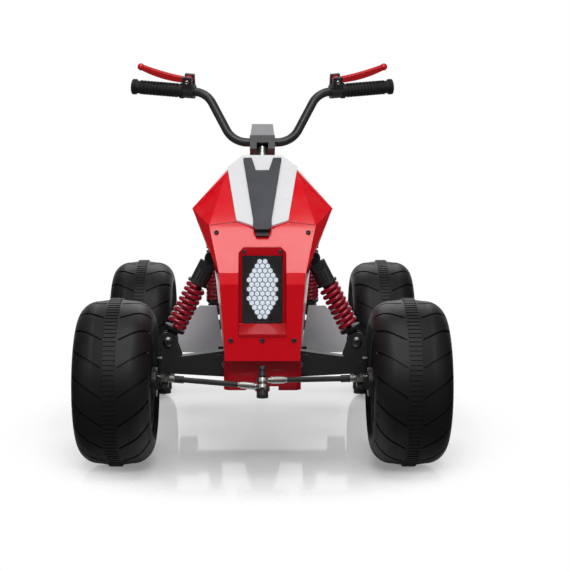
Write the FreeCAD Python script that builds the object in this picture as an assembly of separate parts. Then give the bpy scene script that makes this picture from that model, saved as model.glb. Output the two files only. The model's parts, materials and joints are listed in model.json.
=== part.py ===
import FreeCAD, Part
import math
import os
from FreeCAD import Matrix, Placement, Vector

# All lengths in millimetres, all angles in degrees.
# X runs across the quad, the front faces minus Y, Z is up from the ground.
# "Back" always means the distance behind the front axle.

# Whole machine
WHEELBASE = 640.0
FRONT_HALF_TRACK = 259.0
REAR_HALF_TRACK = 266.0
FRONT_Y = -WHEELBASE / 2

# Clearances
RUN_GAP = 0.08          # radial gap of a pin or shaft that turns in its bore
SEAT_GAP = 0.3          # gap between two pieces that are bolted together
LINK_GAP = 2.8          # free play of the outer tie rod ball in its socket
EYE_PLAY = 0.6          # free play of a lower shock eye on its bolt
SIDE_GAP = 0.7          # gap at the side of a piece that turns between two cheeks
OVERRUN = 5.0           # how far a cutter runs past the face that it cuts

# Tyres and rims
WHEEL_RADIUS = 150.0
TYRE_WIDTH = 135.0
TYRE_WALL = 7.0
SHOULDER_RADIUS = 38.0
CROWN_DROP = 4.0
BAND_WIDTH = 21.0
BAND_HEIGHT = 1.6
BAND_SLOT_COUNT = 110
BAND_SLOT_LENGTH = 3.6
GROOVE_COUNT = 18
GROOVE_WIDTH = 4.2
GROOVE_DEPTH = 3.2
GROOVE_START = 14.0
GROOVE_RISE = 33.0
GROOVE_REACH = 34.0
RIM_RADIUS = 92.0
RIM_WIDTH = 112.0
RIM_WALL = 6.0
RIM_LIP_HEIGHT = 5.0
RIM_LIP_THICK = 3.0
RIM_FACE_OUT = 18.0
RIM_FACE_THICK = 12.0
SPOKE_COUNT = 5
SPOKE_WINDOW_ANGLE = 44.0
WINDOW_INNER_RADIUS = 34.0
WINDOW_OUTER_RADIUS = 78.0
HUB_RADIUS = 24.0
HUB_HALF_LENGTH = 38.0
HUB_CAP_RADIUS = 19.0
HUB_CAP_LENGTH = 9.0
HUB_CAP_WALL = 2.5
AXLE_RADIUS = 7.0

# Main frame
RAIL_SPACING = 80.0
RAIL_WIDTH = 25.0
RAIL_WALL = 2.5
RAIL_BOTTOM = 165.0
RAIL_TOP = 205.0
RAIL_START = -46.0
RAIL_END = 424.0
FRAME_EAR_THICK = 5.0
FRAME_EAR_WIDTH = 40.0
FRAME_EAR_HEIGHT = 34.0
CROSS_START = -46.0
CROSS_END = -2.0
OUTRIGGER_START = 250.0
OUTRIGGER_END = 335.0
OUTRIGGER_THICK = 6.0

# Front suspension arms and knuckles
ARM_PIVOT_X = 66.0
ARM_PIVOT_Z = 190.0
ARM_PIVOT_REACH = 40.0
ARM_TUBE_LENGTH = 26.0
ARM_TUBE_RADIUS = 11.0
ARM_BOLT_RADIUS = 6.0
BOLT_HEAD_SHARE = 1.7
ARM_ROOT_HEIGHT = 46.0
ARM_TIP_HEIGHT = 26.0
ARM_TIP_Z = 181.0
ARM_FRONT_WIDTH = 24.0
ARM_REAR_WIDTH = 18.0
ARM_TIP_WIDTH = 15.0
KINGPIN_X = 175.0
KINGPIN_RADIUS = 7.0
KINGPIN_NUT_HEIGHT = 7.0
KNUCKLE_SLEEVE_RADIUS = 13.5
KNUCKLE_BOTTOM = 138.0
KNUCKLE_FLANGE_RADIUS = 26.0
KNUCKLE_FLANGE_THICK = 8.0
STUB_NUT_RADIUS = 11.0
STUB_NUT_LENGTH = 7.0
STEER_BALL_IN = 4.0
STEER_BALL_AHEAD = 68.0
STEER_BALL_Z = 170.0
STEER_ARM_THICK = 6.0
STEER_ARM_WIDTH = 18.0
BALL_RADIUS = 5.5
BALL_STUD_RADIUS = 3.0

# Shock absorbers, front ones lean inward, rear ones stand in upright planes
SHOCK_EYE_RADIUS = 15.0
SHOCK_TOP_EYE_RADIUS = 11.0
SHOCK_EYE_LENGTH = 20.0
SHOCK_BOLT_RADIUS = 5.0
SHOCK_CAP_RADIUS = 15.5
SHOCK_CAP_START = 10.0
SHOCK_CAP_END = 52.0
SHOCK_CAP_FLANGE = 4.0
SHOCK_FLUTE_COUNT = 12
SHOCK_FLUTE_RADIUS = 1.7
SHOCK_FLUTE_RUN = 2.0    # plain stretch at each end of a flute
SHOCK_TUBE_RADIUS = 10.0
SHOCK_TUBE_END = 98.0
SHOCK_ROD_RADIUS = 5.0
SHOCK_STROKE_ROOM = 16.0
SHOCK_CUP_RADIUS = 19.0
SHOCK_CUP_THICK = 5.0
SHOCK_CUP_FROM_EYE = 22.0
SPRING_MEAN_RADIUS = 14.7
SPRING_WIRE_RADIUS = 3.4
SPRING_TURNS = 7
FRONT_SHOCK_TOP_X = 91.0
FRONT_SHOCK_TOP_Z = 373.0
FRONT_SHOCK_FOOT_X = 167.0
FRONT_SHOCK_FOOT_Z = 225.0
SHOCK_CHEEK_THICK = 4.0
SHOCK_CHEEK_RADIUS = 16.5
SHOCK_NOTCH_GAP = 3.0

# Front tower and steering column
STEER_RAKE = 22.0
STEER_FOOT_BACK = -45.0
STEER_FOOT_Z = 150.0
COLUMN_RADIUS = 9.5
COLUMN_TOP_Z = 563.0
COLUMN_ROOM = 2.5       # clear space round the column and its boss
BUSH_WALL = 3.5
BUSH_FLANGE = 3.0
TOWER_PLATE_THICK = 10.0
TOWER_PLATE_GAP = 46.0
TOWER_START = 18.0
TOWER_END = 74.0
TOWER_TOP = 394.0
TOWER_BLOCK_HEIGHT = 26.0
SHOCK_BRIDGE_THICK = 6.0
SHOCK_BRIDGE_HALF_WIDTH = 99.0
SHOCK_BRIDGE_HEIGHT = 24.0
PITMAN_AHEAD = 73.0
PITMAN_THICK = 7.0
PITMAN_WIDTH = 20.0
PITMAN_BOSS_RADIUS = 13.0
PITMAN_BOLT_RADIUS = 4.0
PITMAN_BOLT_LENGTH = 44.0
PITMAN_HEAD_RADIUS = 7.0
PITMAN_HEAD_HEIGHT = 6.0
TIE_LOW_STEP = 15.0
TIE_HIGH_STEP = 26.0
TIE_BALL_RADIUS = 6.5
TIE_RING_RADIUS = 10.5
TIE_RING_HEIGHT = 8.0
TIE_INNER_RING_HEIGHT = 6.2    # low enough for both rods to tilt, one above the other
TIE_OUTER_RING_RADIUS = 12.0
TIE_ROD_RADIUS = 4.8
TIE_SLEEVE_RADIUS = 6.4
TIE_SLEEVE_LENGTH = 24.0
TIE_SLEEVE_ROOM = 3.5    # keeps a sleeve off the other rod's ring

# Handlebar, grips and levers, given on the left half
BAR_RADIUS = 8.0
BAR_BORE_RADIUS = 6.0
BAR_MID_BACK = 126.0
BAR_MID_Z = 573.0
BAR_RISE_X = 54.0
BAR_KNEE_X = 103.0
BAR_KNEE_BACK = 152.0
BAR_KNEE_Z = 664.0
BAR_END_X = 242.0
BAR_END_BACK = 190.0
BAR_END_Z = 676.0
BAR_BEND_RADIUS = 44.0
GRIP_RADIUS = 12.0
GRIP_LENGTH = 100.0
GRIP_FLANGE_RADIUS = 14.5
GRIP_FLANGE_LENGTH = 6.0
GRIP_END_WALL = 3.0
GRIP_RIB_COUNT = 12
GRIP_RIB_HEIGHT = 1.2
PERCH_RADIUS = 13.0
PERCH_LENGTH = 21.0
PERCH_BLOCK_WIDTH = 22.0
PERCH_BLOCK_LENGTH = 18.0
PERCH_HEIGHT = 31.0
LEVER_PIN_RADIUS = 2.5
LEVER_PIN_RISE = 22.0
LEVER_THICK = 9.0
LEVER_DEPTH = 11.0
LEVER_LENGTH = 92.0
LEVER_TIP_RISE = 41.0
LEVER_SAG = 4.0
LEVER_TIP_RADIUS = 6.8
LEVER_LEAN = 25.0
CLAMP_HALF_WIDTH = 23.0
CLAMP_DEPTH = 42.0
CLAMP_BELOW = 20.0
CLAMP_ABOVE = 6.0
CLAMP_NOTCH = 21.0
CAP_HALF_WIDTH = 22.0
CAP_TOP_HALF_WIDTH = 19.0
CAP_DEPTH = 40.0
CAP_HEIGHT = 22.0

# Front fairing: a folded moulding, corners as shares of its half width, length and height
FAIRING_HALF_WIDTH = 125.0
FAIRING_NOSE = -110.0
FAIRING_LENGTH = 220.0
FAIRING_FOOT_Z = 206.0
FAIRING_HEIGHT = 334.0
FAIRING_WALL = 3.5
FAIRING_SHARES = {
    "foot_front": (0.512, 0.045, 0.0),
    "foot_side": (0.53, 0.27, 0.0),
    "step_low": (0.576, 0.0, 0.398),
    "step_low_side": (0.665, 0.45, 0.425),
    "step_high": (0.588, 0.027, 0.455),
    "step_high_side": (0.72, 0.53, 0.49),
    "brow": (0.736, 0.295, 0.68),
    "wing": (1.0, 0.636, 0.755),
    "hood_waist": (0.51, 0.8, 0.945),
    "top_side": (0.53, 0.9, 0.95),
    "top": (0.3, 0.9, 1.0),
    "wing_rear": (0.98, 0.955, 0.735),
    "low_rear": (0.8, 0.85, 0.53),
    "top_rear": (0.515, 1.0, 0.93),
}
# flank vent: shares along the flank's lower edge and up towards the wing corner
VENT_SHARES = ((0.12, 0.13), (0.66, 0.13), (0.66, 0.82), (0.12, 0.82))
# shoulder scoop: shares along the wing edge and down towards the brow
SCOOP_SHARES = ((0.12, 0.08), (0.9, 0.1), (0.78, 0.27), (0.3, 0.25))
SCOOP_DEPTH = 2.2
VENT_PLATE_THICK = 2.4
VENT_HOLE_RADIUS = 3.2
VENT_HOLE_PITCH = 8.6

# Lamp in the nose
LAMP_HALF_WIDTH = 40.7
LAMP_BOTTOM = 248.0
LAMP_TOP = 399.0
LAMP_POCKET_BACK = -62.0
LAMP_CORNER = 9.0
SURROUND_WALL = 5.5
SURROUND_LEDGE = 19.0
SURROUND_BROW = 14.0
HOUSING_THICK = 12.0
HOUSING_WALL = 2.5
CELL_RADIUS = 4.4
CELL_PITCH = 9.2
CELL_COUNTS = (2, 3, 4, 5, 6, 5, 6, 5, 6, 5, 4, 3, 2)    # light cells in each row
CELL_HEIGHT = 3.2
CELL_BOARD_THICK = 3.0
LENS_THICK = 2.5

# White hood panel and dark spine, on the plane of the hood
HOOD_PANEL_THICK = 4.0
HOOD_PANEL_SHARES = ((0.13, -0.02), (0.36, 0.06), (0.505, 0.88), (0.28, 1.07))
SPINE_THICK = 8.0
SPINE_SHARES = ((0.09, -0.1), (0.125, -0.06), (0.125, 0.06), (0.275, 1.0), (0.155, 1.0), (0.094, 0.8))
SPINE_GAP = 0.4
TONGUE_HALF_WIDTH = 11.0
TONGUE_LENGTH = 24.0
TONGUE_THICK = 5.0

# Skid box under the nose
SKID_HALF_WIDTH = 67.0
SKID_BOTTOM = 149.0
SKID_FRONT = -70.0
SKID_CORNER = 8.0
SKID_WALL = 3.0
SKID_SLOT_HALF_WIDTH = 28.0

# Rear body, seat and battery box
BODY_START = 118.0
DASH_LENGTH = 143.75
TAIL_LENGTH = 34.5
BODY_HALF_WIDTH = 98.0
BODY_FLOOR_Z = 300.0
BODY_HEIGHT = 202.0
BODY_WALL = 3.0
# share of the dash, seat or tail run, then the half widths and heights of top, middle and foot
BODY_SHARES = (
    ("dash", 0.0, 0.46, 0.6, 0.6, 0.985, 0.82, 0.2),
    ("dash", 0.52, 0.5, 0.67, 0.67, 0.93, 0.74, 0.04),
    ("seat", 0.0, 0.62, 0.82, 0.74, 0.45, 0.33, 0.0),
    ("seat", 0.84, 0.78, 0.96, 0.82, 0.5, 0.36, 0.14),
    ("tail", 0.0, 0.72, 0.86, 0.7, 0.51, 0.45, 0.27),
    ("tail", 1.0, 0.36, 0.5, 0.36, 0.66, 0.61, 0.5),
)
SEAT_LENGTH = 372.0
SEAT_SETBACK = 5.0
SEAT_TAIL_ROOM = 20.0
SEAT_THICK = 34.0
SEAT_NOSE_HALF_WIDTH = 62.0
SEAT_MID_HALF_WIDTH = 96.0
SEAT_TUCK = 13.0
SEAT_CROWN = 12.0
SEAT_CHANNEL_WIDTH = 5.0
SEAT_CHANNEL_DEPTH = 3.5
SEAT_CHANNEL_SHARES = (0.3, 0.5, 0.7)
BATTERY_BOX_START = 112.0
BATTERY_BOX_END = 380.0
BATTERY_BOX_HALF_WIDTH = 72.0
BATTERY_BOX_WALL = 3.0
BATTERY_LENGTH = 151.0
BATTERY_WIDTH = 65.0
BATTERY_HEIGHT = 94.0
BATTERY_START = 140.0

# Footrests and accelerator pedal
REST_INNER_X = 76.0
REST_OUTER_X = 184.0
REST_START = 182.0
REST_END = 432.0
REST_THICK = 4.0
REST_LIP_HEIGHT = 12.0
TOE_TOP_Z = 262.0
TOE_INNER_X = 88.0
TOE_OUTER_X = 120.0
TREAD_RIB_COUNT = 7
TREAD_RIB_HEIGHT = 2.5
TREAD_RIB_WIDTH = 4.0
TREAD_START = 300.0
PEDAL_HALF_WIDTH = 27.0
PEDAL_X = 118.0
PEDAL_LENGTH = 78.0
PEDAL_THICK = 6.0
PEDAL_REST_ANGLE = 19.0
PEDAL_HINGE_BACK = 288.0
PEDAL_PIN_RADIUS = 3.0
PEDAL_TUBE_RADIUS = 6.0
PEDAL_LUG_THICK = 5.0

# Switches on the slope behind the column
SWITCH_SHARE = 0.3
SWITCH_WIDTH = 16.0
SWITCH_LENGTH = 24.0
SWITCH_HEIGHT = 9.0
SWITCH_DEPTH = 12.0
SWITCH_TILT = 8.0
SWITCH_X = 20.0
SWITCH_GAP = 0.8
BUTTON_RADIUS = 8.0
BUTTON_HEIGHT = 6.0
BUTTON_STEM = 11.0
BUTTON_STEM_RADIUS = 5.0

# Rear swing arm, tower, axle and gear motors
SWING_PIVOT_BACK = 404.0
SWING_PIVOT_Z = 178.0
SWING_TUBE_RADIUS = 13.0
SWING_BOLT_RADIUS = 6.0
SWING_ROOT_HALF_WIDTH = 18.0
SWING_TIP_HALF_WIDTH = 42.0
SWING_BEAM_HEIGHT = 26.0
SWING_TAPER_SHARE = 0.8
AXLE_TUBE_RADIUS = 15.0
AXLE_TUBE_HALF_LENGTH = 148.0
REAR_SHOCK_X = 106.0
REAR_SHOCK_FOOT_BACK = 622.0
REAR_SHOCK_FOOT_Z = 194.0
REAR_SHOCK_TOP_BACK = 560.0
REAR_SHOCK_TOP_Z = 346.0
REAR_POST_RADIUS = 10.0
REAR_POST_TOP_X = 44.0
REAR_BAR_RADIUS = 7.0
REAR_BAR_CAP_RADIUS = 11.0
REAR_BAR_CAP_LENGTH = 5.0
GEAR_RADIUS = 46.0
GEAR_THICK = 38.0
GEAR_FROM_TUBE = 1.0
MOTOR_RADIUS = 23.0
MOTOR_LENGTH = 58.0
MOTOR_AHEAD = 52.0

ACROSS = Vector(1, 0, 0)
ALONG = Vector(0, 1, 0)
UP = Vector(0, 0, 1)


def at(x, back, z):
    return Vector(x, FRONT_Y + back, z)


def block(x0, x1, back0, back1, z0, z1):
    return Part.makeBox(x1 - x0, back1 - back0, z1 - z0, at(x0, back0, z0))


def rod(start, end, radius):
    reach = end - start
    return Part.makeCylinder(radius, reach.Length, start, reach)


def disc(centre, axis, radius, length):
    axis = Vector(axis).normalize()
    return Part.makeCylinder(radius, length, centre - axis * (length / 2), axis)


def ball(centre, radius):
    return Part.makeSphere(radius, centre)


def loop(points):
    return Part.makePolygon(list(points) + [points[0]])


def prism(points, depth):
    return Part.Face(loop(points)).extrude(depth)


def loft(loops):
    return Part.makeLoft(loops, True, True)


def joined(first, *others):
    return first.fuse(list(others))


def mirrored(shape):
    return shape.mirror(Vector(0, 0, 0), ACROSS)


def both(shape):
    return Part.makeCompound([shape, mirrored(shape)])


def line(start, end):
    return Part.LineSegment(start, end).toShape()


def arc(start, middle, end):
    return Part.Arc(start, middle, end).toShape()


def local(origin, ex, ez):
    # place of a shape drawn in its own axes
    ez = Vector(ez).normalize()
    ey = ez.cross(ex).normalize()
    ex = ey.cross(ez)
    return Placement(Matrix(ex.x, ey.x, ez.x, origin.x,
                            ex.y, ey.y, ez.y, origin.y,
                            ex.z, ey.z, ez.z, origin.z,
                            0, 0, 0, 1))


def placed(shape, placement):
    moved = shape.copy()
    moved.transformShape(placement.toMatrix(), True)
    return moved


def bent_path(points, bend):
    # straight runs joined by tangent arcs
    edges = []
    start = points[0]
    for before, corner, after in zip(points, points[1:], points[2:]):
        into = (corner - before).normalize()
        out = (after - corner).normalize()
        half = into.getAngle(out) / 2
        trim = bend * math.tan(half)
        first = corner - into * trim
        last = corner + out * trim
        inward = (out - into).normalize()
        middle = corner + inward * (bend / math.cos(half) - bend)
        edges.append(line(start, first))
        edges.append(arc(first, middle, last))
        start = last
    edges.append(line(start, points[-1]))
    return Part.Wire(edges)


def piped(path, start, along, radius):
    ring = Part.Wire([Part.makeCircle(radius, start, along)])
    return path.makePipeShell([ring], True, False)


def biarc(start, start_way, end, end_way):
    # two arcs that leave start and reach end along the given ways
    chord = end - start
    ways = start_way + end_way
    square = 2 * (1 - start_way.dot(end_way))
    along = chord.dot(ways)
    reach = (-along + math.sqrt(along * along + square * chord.dot(chord))) / square
    first = start + start_way * reach
    second = end - end_way * reach
    middle = (first + second) * 0.5
    edges = []
    for a, apex, b in ((start, first, middle), (middle, second, end)):
        base = (a + b) * 0.5
        height = (apex - base).Length
        half = (b - a).Length / 2
        turn = math.atan2(height, half)
        edges.append(arc(a, base + (apex - base) * (half * math.tan(turn / 2) / height), b))
    return edges


def coil(top, way, length):
    # wound wire between two seats, its ends straight for one wire thickness
    wire = SPRING_WIRE_RADIUS
    frame = local(top, ALONG if abs(way.y) < 0.5 else ACROSS, way)
    steps = SPRING_TURNS * 4
    dip = 2 * wire * length / (SPRING_TURNS * 2 * math.pi * SPRING_MEAN_RADIUS)
    seat = wire + SEAT_GAP + dip
    rise = length - 2 * seat
    places = []
    ways = []
    for i in range(steps + 1):
        angle = i * math.pi / 2
        height = seat + rise * i / steps
        place = Vector(SPRING_MEAN_RADIUS * math.cos(angle), SPRING_MEAN_RADIUS * math.sin(angle), height)
        slope = Vector(-SPRING_MEAN_RADIUS * math.sin(angle), SPRING_MEAN_RADIUS * math.cos(angle),
                       rise / (SPRING_TURNS * 2 * math.pi))
        places.append(frame.multVec(place))
        ways.append(frame.Rotation.multVec(slope.normalize()))
    start = places[0] - ways[0] * (2 * wire)
    end = places[-1] + ways[-1] * (2 * wire)
    edges = [line(start, places[0])]
    for i in range(steps):
        edges += biarc(places[i], ways[i], places[i + 1], ways[i + 1])
    edges.append(line(places[-1], end))
    least = min((a - b).Length for i, a in enumerate(places) for b in places[i + 3:])
    print("spring, least gap to itself %.2f" % (least - 2 * wire))
    return piped(Part.Wire(edges), start, ways[0], wire)


def folded(points, faces):
    made = []
    for face in faces:
        corners = [points[name] for name in face]
        for i in range(1, len(corners) - 1):
            made.append(Part.Face(loop([corners[0], corners[i], corners[i + 1]])))
    solid = Part.makeSolid(Part.makeShell(made))
    if solid.Volume < 0:
        solid.reverse()
    return solid.removeSplitter()


EASE_SHARE = 0.02       # keeps a corner of nearly flat walls in place


def inset(points, walls, openings, wall, inside):
    # corners of the hollow inside a folded moulding, run past its open sides
    moved = {}
    for name, place in points.items():
        rows = Matrix(0, 0, 0, 0, 0, 0, 0, 0, 0, 0, 0, 0, 0, 0, 0, 1)
        total = Vector(0, 0, 0)
        for faces, shift in ((walls, -wall), (openings, OVERRUN)):
            for face in faces:
                if name in face:
                    a, b, c = (points[n] for n in face[:3])
                    n = (b - a).cross(c - a).normalize()
                    if n.dot(a - inside) < 0:
                        n = n * -1
                    total = total + n * shift
                    rows.A11 += n.x * n.x
                    rows.A12 += n.x * n.y
                    rows.A13 += n.x * n.z
                    rows.A22 += n.y * n.y
                    rows.A23 += n.y * n.z
                    rows.A33 += n.z * n.z
        rows.A11 += EASE_SHARE
        rows.A22 += EASE_SHARE
        rows.A33 += EASE_SHARE
        rows.A21 = rows.A12
        rows.A31 = rows.A13
        rows.A32 = rows.A23
        moved[name] = place + rows.inverse().multVec(total)
    return moved


# Places that several pieces share
AXLE_Z = WHEEL_RADIUS
RAIL_X = RAIL_SPACING / 2
STEER_AXIS = Vector(0, math.sin(math.radians(STEER_RAKE)), math.cos(math.radians(STEER_RAKE)))
STEER_FOOT = at(0, STEER_FOOT_BACK, STEER_FOOT_Z)
BUSH_RADIUS = COLUMN_RADIUS + BUSH_WALL


def on_column(z):
    return STEER_FOOT + STEER_AXIS * ((z - STEER_FOOT_Z) / STEER_AXIS.z)


BAR_MID = at(0, BAR_MID_BACK, BAR_MID_Z)
BAR_KNEE = at(BAR_KNEE_X, BAR_KNEE_BACK, BAR_KNEE_Z)
BAR_END = at(BAR_END_X, BAR_END_BACK, BAR_END_Z)
GRIP_WAY = (BAR_END - BAR_KNEE).normalize()
GRIP_START = BAR_END - GRIP_WAY * GRIP_LENGTH
LEVER_LIFT = Vector(0, -math.sin(math.radians(LEVER_LEAN)), math.cos(math.radians(LEVER_LEAN)))
LEVER_LIFT = (LEVER_LIFT - GRIP_WAY * GRIP_WAY.dot(LEVER_LIFT)).normalize()
LEVER_PIN_WAY = GRIP_WAY.cross(LEVER_LIFT)
PERCH_MID = GRIP_START - GRIP_WAY * (PERCH_LENGTH / 2 + SEAT_GAP)
LEVER_PIN = PERCH_MID + LEVER_LIFT * LEVER_PIN_RISE
PITMAN_TIP = STEER_FOOT - ALONG * PITMAN_AHEAD
TIE_HIGH = PITMAN_TIP + STEER_AXIS * TIE_HIGH_STEP
TIE_LOW = PITMAN_TIP + STEER_AXIS * TIE_LOW_STEP
STEER_BALL = at(KINGPIN_X - STEER_BALL_IN, -STEER_BALL_AHEAD, STEER_BALL_Z)
FRONT_SHOCK_TOP = at(FRONT_SHOCK_TOP_X, 0, FRONT_SHOCK_TOP_Z)
FRONT_SHOCK_FOOT = at(FRONT_SHOCK_FOOT_X, 0, FRONT_SHOCK_FOOT_Z)
REAR_SHOCK_TOP = at(REAR_SHOCK_X, REAR_SHOCK_TOP_BACK, REAR_SHOCK_TOP_Z)
REAR_SHOCK_FOOT = at(REAR_SHOCK_X, REAR_SHOCK_FOOT_BACK, REAR_SHOCK_FOOT_Z)
SWING_PIVOT = at(0, SWING_PIVOT_BACK, SWING_PIVOT_Z)
REAR_AXLE = at(0, WHEELBASE, AXLE_Z)
PEDAL_FLOOR = RAIL_BOTTOM + OUTRIGGER_THICK + SEAT_GAP + REST_THICK
PEDAL_HINGE = at(-PEDAL_X, PEDAL_HINGE_BACK, PEDAL_FLOOR + PEDAL_TUBE_RADIUS + SIDE_GAP)


def fairing_corner(name):
    width, length, height = FAIRING_SHARES[name]
    return at(width * FAIRING_HALF_WIDTH, FAIRING_NOSE + length * FAIRING_LENGTH,
              FAIRING_FOOT_Z + height * FAIRING_HEIGHT)


HOOD_LOW = fairing_corner("brow")
HOOD_HIGH = fairing_corner("top")
HOOD_RUN = Vector(0, HOOD_HIGH.y - HOOD_LOW.y, HOOD_HIGH.z - HOOD_LOW.z)
HOOD_OUT = ACROSS.cross(HOOD_RUN).normalize()


def on_hood(x, share, lift):
    return Vector(x, HOOD_LOW.y, HOOD_LOW.z) + HOOD_RUN * share + HOOD_OUT * lift


DECK_START = BODY_START + DASH_LENGTH
SEAT_START = DECK_START + SEAT_SETBACK
TAIL_START = SEAT_START + SEAT_LENGTH + SEAT_TAIL_ROOM
BODY_RUNS = {
    "dash": (BODY_START, DASH_LENGTH),
    "seat": (DECK_START, TAIL_START - DECK_START),
    "tail": (TAIL_START, TAIL_LENGTH),
}


def body_corner(row):
    run, along, top_w, mid_w, foot_w, top, middle, foot = row
    start, length = BODY_RUNS[run]
    y = start + along * length
    return (y, top_w * BODY_HALF_WIDTH, mid_w * BODY_HALF_WIDTH, foot_w * BODY_HALF_WIDTH,
            BODY_FLOOR_Z + top * BODY_HEIGHT, BODY_FLOOR_Z + middle * BODY_HEIGHT,
            BODY_FLOOR_Z + foot * BODY_HEIGHT)


DECK_LOW = body_corner(BODY_SHARES[2])
DECK_HIGH = body_corner(BODY_SHARES[3])
SLOPE_HIGH = body_corner(BODY_SHARES[1])


def deck_height(back):
    return DECK_LOW[4] + (DECK_HIGH[4] - DECK_LOW[4]) * (back - DECK_LOW[0]) / (DECK_HIGH[0] - DECK_LOW[0])


DASH_RUN = Vector(0, DECK_LOW[0] - SLOPE_HIGH[0], DECK_LOW[4] - SLOPE_HIGH[4])
DASH_OUT = ACROSS.cross(DASH_RUN).normalize()
DASH_MID = at(0, SLOPE_HIGH[0], SLOPE_HIGH[4]) + DASH_RUN * SWITCH_SHARE


def tyre_profile(sink, wall):
    # outer line of one half from the middle to the bead, then the inner line back
    tread = WHEEL_RADIUS - BAND_HEIGHT - sink
    half = TYRE_WIDTH / 2 - sink
    turn = SHOULDER_RADIUS - sink
    edge = half - turn
    low = tread - CROWN_DROP - turn
    bead = RIM_RADIUS + SEAT_GAP
    lean = turn * math.sqrt(0.5)
    cheek = RIM_WIDTH / 2 - SEAT_GAP
    heel = bead + RIM_LIP_HEIGHT + SEAT_GAP
    outer = [line(Vector(0, tread, 0), Vector(edge, low + turn, 0)),
             arc(Vector(edge, low + turn, 0), Vector(edge + lean, low + lean, 0), Vector(half, low, 0)),
             line(Vector(half, low, 0), Vector(cheek, heel, 0)),
             line(Vector(cheek, heel, 0), Vector(cheek, bead, 0))]
    if not wall:
        outer.append(line(Vector(cheek, bead, 0), Vector(0, bead, 0)))
        return outer
    lean_in = (turn - wall) * math.sqrt(0.5)
    return outer + [
        line(Vector(cheek, bead, 0), Vector(cheek - wall, bead, 0)),
        line(Vector(cheek - wall, bead, 0), Vector(half - wall, low, 0)),
        arc(Vector(half - wall, low, 0), Vector(edge + lean_in, low + lean_in, 0),
            Vector(edge, low + turn - wall, 0)),
        line(Vector(edge, low + turn - wall, 0), Vector(0, tread - wall, 0))]


def spun(half_edges):
    other = [mirrored(edge) for edge in half_edges]
    ring = Part.Wire(Part.__sortEdges__(half_edges + other))
    return Part.Face(ring).revolve(Vector(0, 0, 0), ACROSS, 360)


def make_tyre():
    carcass = spun(tyre_profile(0, TYRE_WALL))
    core = spun(tyre_profile(GROOVE_DEPTH, 0))
    slab = Part.makeBox(TYRE_WIDTH, GROOVE_REACH + OVERRUN, GROOVE_WIDTH,
                        Vector(GROOVE_START, -WHEEL_RADIUS - OVERRUN, -GROOVE_WIDTH / 2))
    slab.rotate(Vector(GROOVE_START, 0, 0), ALONG, -GROOVE_RISE)
    groove = slab.cut(core)
    cutters = []
    for i in range(GROOVE_COUNT):
        turned = groove.copy()
        turned.rotate(Vector(0, 0, 0), ACROSS, 360 * i / GROOVE_COUNT)
        cutters.append(turned)
        cutters.append(mirrored(turned))
    tyre = carcass.cut(cutters)
    tread = WHEEL_RADIUS - BAND_HEIGHT
    band = Part.makeCylinder(WHEEL_RADIUS, BAND_WIDTH, Vector(-BAND_WIDTH / 2, 0, 0), ACROSS)
    hole = Part.makeCylinder(tread - TYRE_WALL / 2, BAND_WIDTH + 2 * OVERRUN,
                             Vector(-BAND_WIDTH / 2 - OVERRUN, 0, 0), ACROSS)
    slots = []
    for i in range(BAND_SLOT_COUNT):
        slot = Part.makeBox(BAND_WIDTH + 2 * OVERRUN, BAND_HEIGHT + OVERRUN, BAND_SLOT_LENGTH,
                            Vector(-BAND_WIDTH / 2 - OVERRUN, tread, -BAND_SLOT_LENGTH / 2))
        slot.rotate(Vector(0, 0, 0), ACROSS, 360 * (i + 0.5) / BAND_SLOT_COUNT)
        slots.append(slot)
    return tyre.fuse(band.cut(hole).cut(slots))


def make_rim():
    edge = RIM_WIDTH / 2 + RIM_LIP_THICK
    barrel = Part.makeCylinder(RIM_RADIUS, RIM_WIDTH, Vector(-RIM_WIDTH / 2, 0, 0), ACROSS)
    bore = Part.makeCylinder(RIM_RADIUS - RIM_WALL, 2 * edge + 2 * OVERRUN,
                             Vector(-edge - OVERRUN, 0, 0), ACROSS)
    lip = Part.makeCylinder(RIM_RADIUS + RIM_LIP_HEIGHT, RIM_LIP_THICK, Vector(RIM_WIDTH / 2, 0, 0), ACROSS)
    face_start = Vector(RIM_FACE_OUT, 0, 0)
    plate = Part.makeCylinder(RIM_RADIUS - RIM_WALL / 2, RIM_FACE_THICK, face_start, ACROSS)
    windows = []
    for i in range(SPOKE_COUNT):
        window = Part.makeCylinder(WINDOW_OUTER_RADIUS, RIM_FACE_THICK + 2 * OVERRUN,
                                   face_start - ACROSS * OVERRUN, ACROSS, SPOKE_WINDOW_ANGLE)
        inner = Part.makeCylinder(WINDOW_INNER_RADIUS, RIM_FACE_THICK + 4 * OVERRUN,
                                  face_start - ACROSS * (2 * OVERRUN), ACROSS)
        window = window.cut(inner)
        window.rotate(Vector(0, 0, 0), ACROSS, 360 * i / SPOKE_COUNT)
        windows.append(window)
    hub = Part.makeCylinder(HUB_RADIUS, 2 * HUB_HALF_LENGTH, Vector(-HUB_HALF_LENGTH, 0, 0), ACROSS)
    shaft = Part.makeCylinder(AXLE_RADIUS + RUN_GAP, 2 * HUB_HALF_LENGTH + 2 * OVERRUN,
                              Vector(-HUB_HALF_LENGTH - OVERRUN, 0, 0), ACROSS)
    tub = joined(barrel, lip, mirrored(lip)).cut(bore)
    rim = joined(tub, plate.cut(windows), hub).cut(shaft)
    start = Vector(HUB_HALF_LENGTH, 0, 0)
    room = HUB_CAP_LENGTH + STUB_NUT_LENGTH
    cap = Part.makeCylinder(HUB_CAP_RADIUS, room, start, ACROSS)
    hollow = Part.makeCylinder(HUB_CAP_RADIUS - HUB_CAP_WALL, room - HUB_CAP_WALL, start, ACROSS)
    return joined(rim, cap.cut(hollow))


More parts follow.
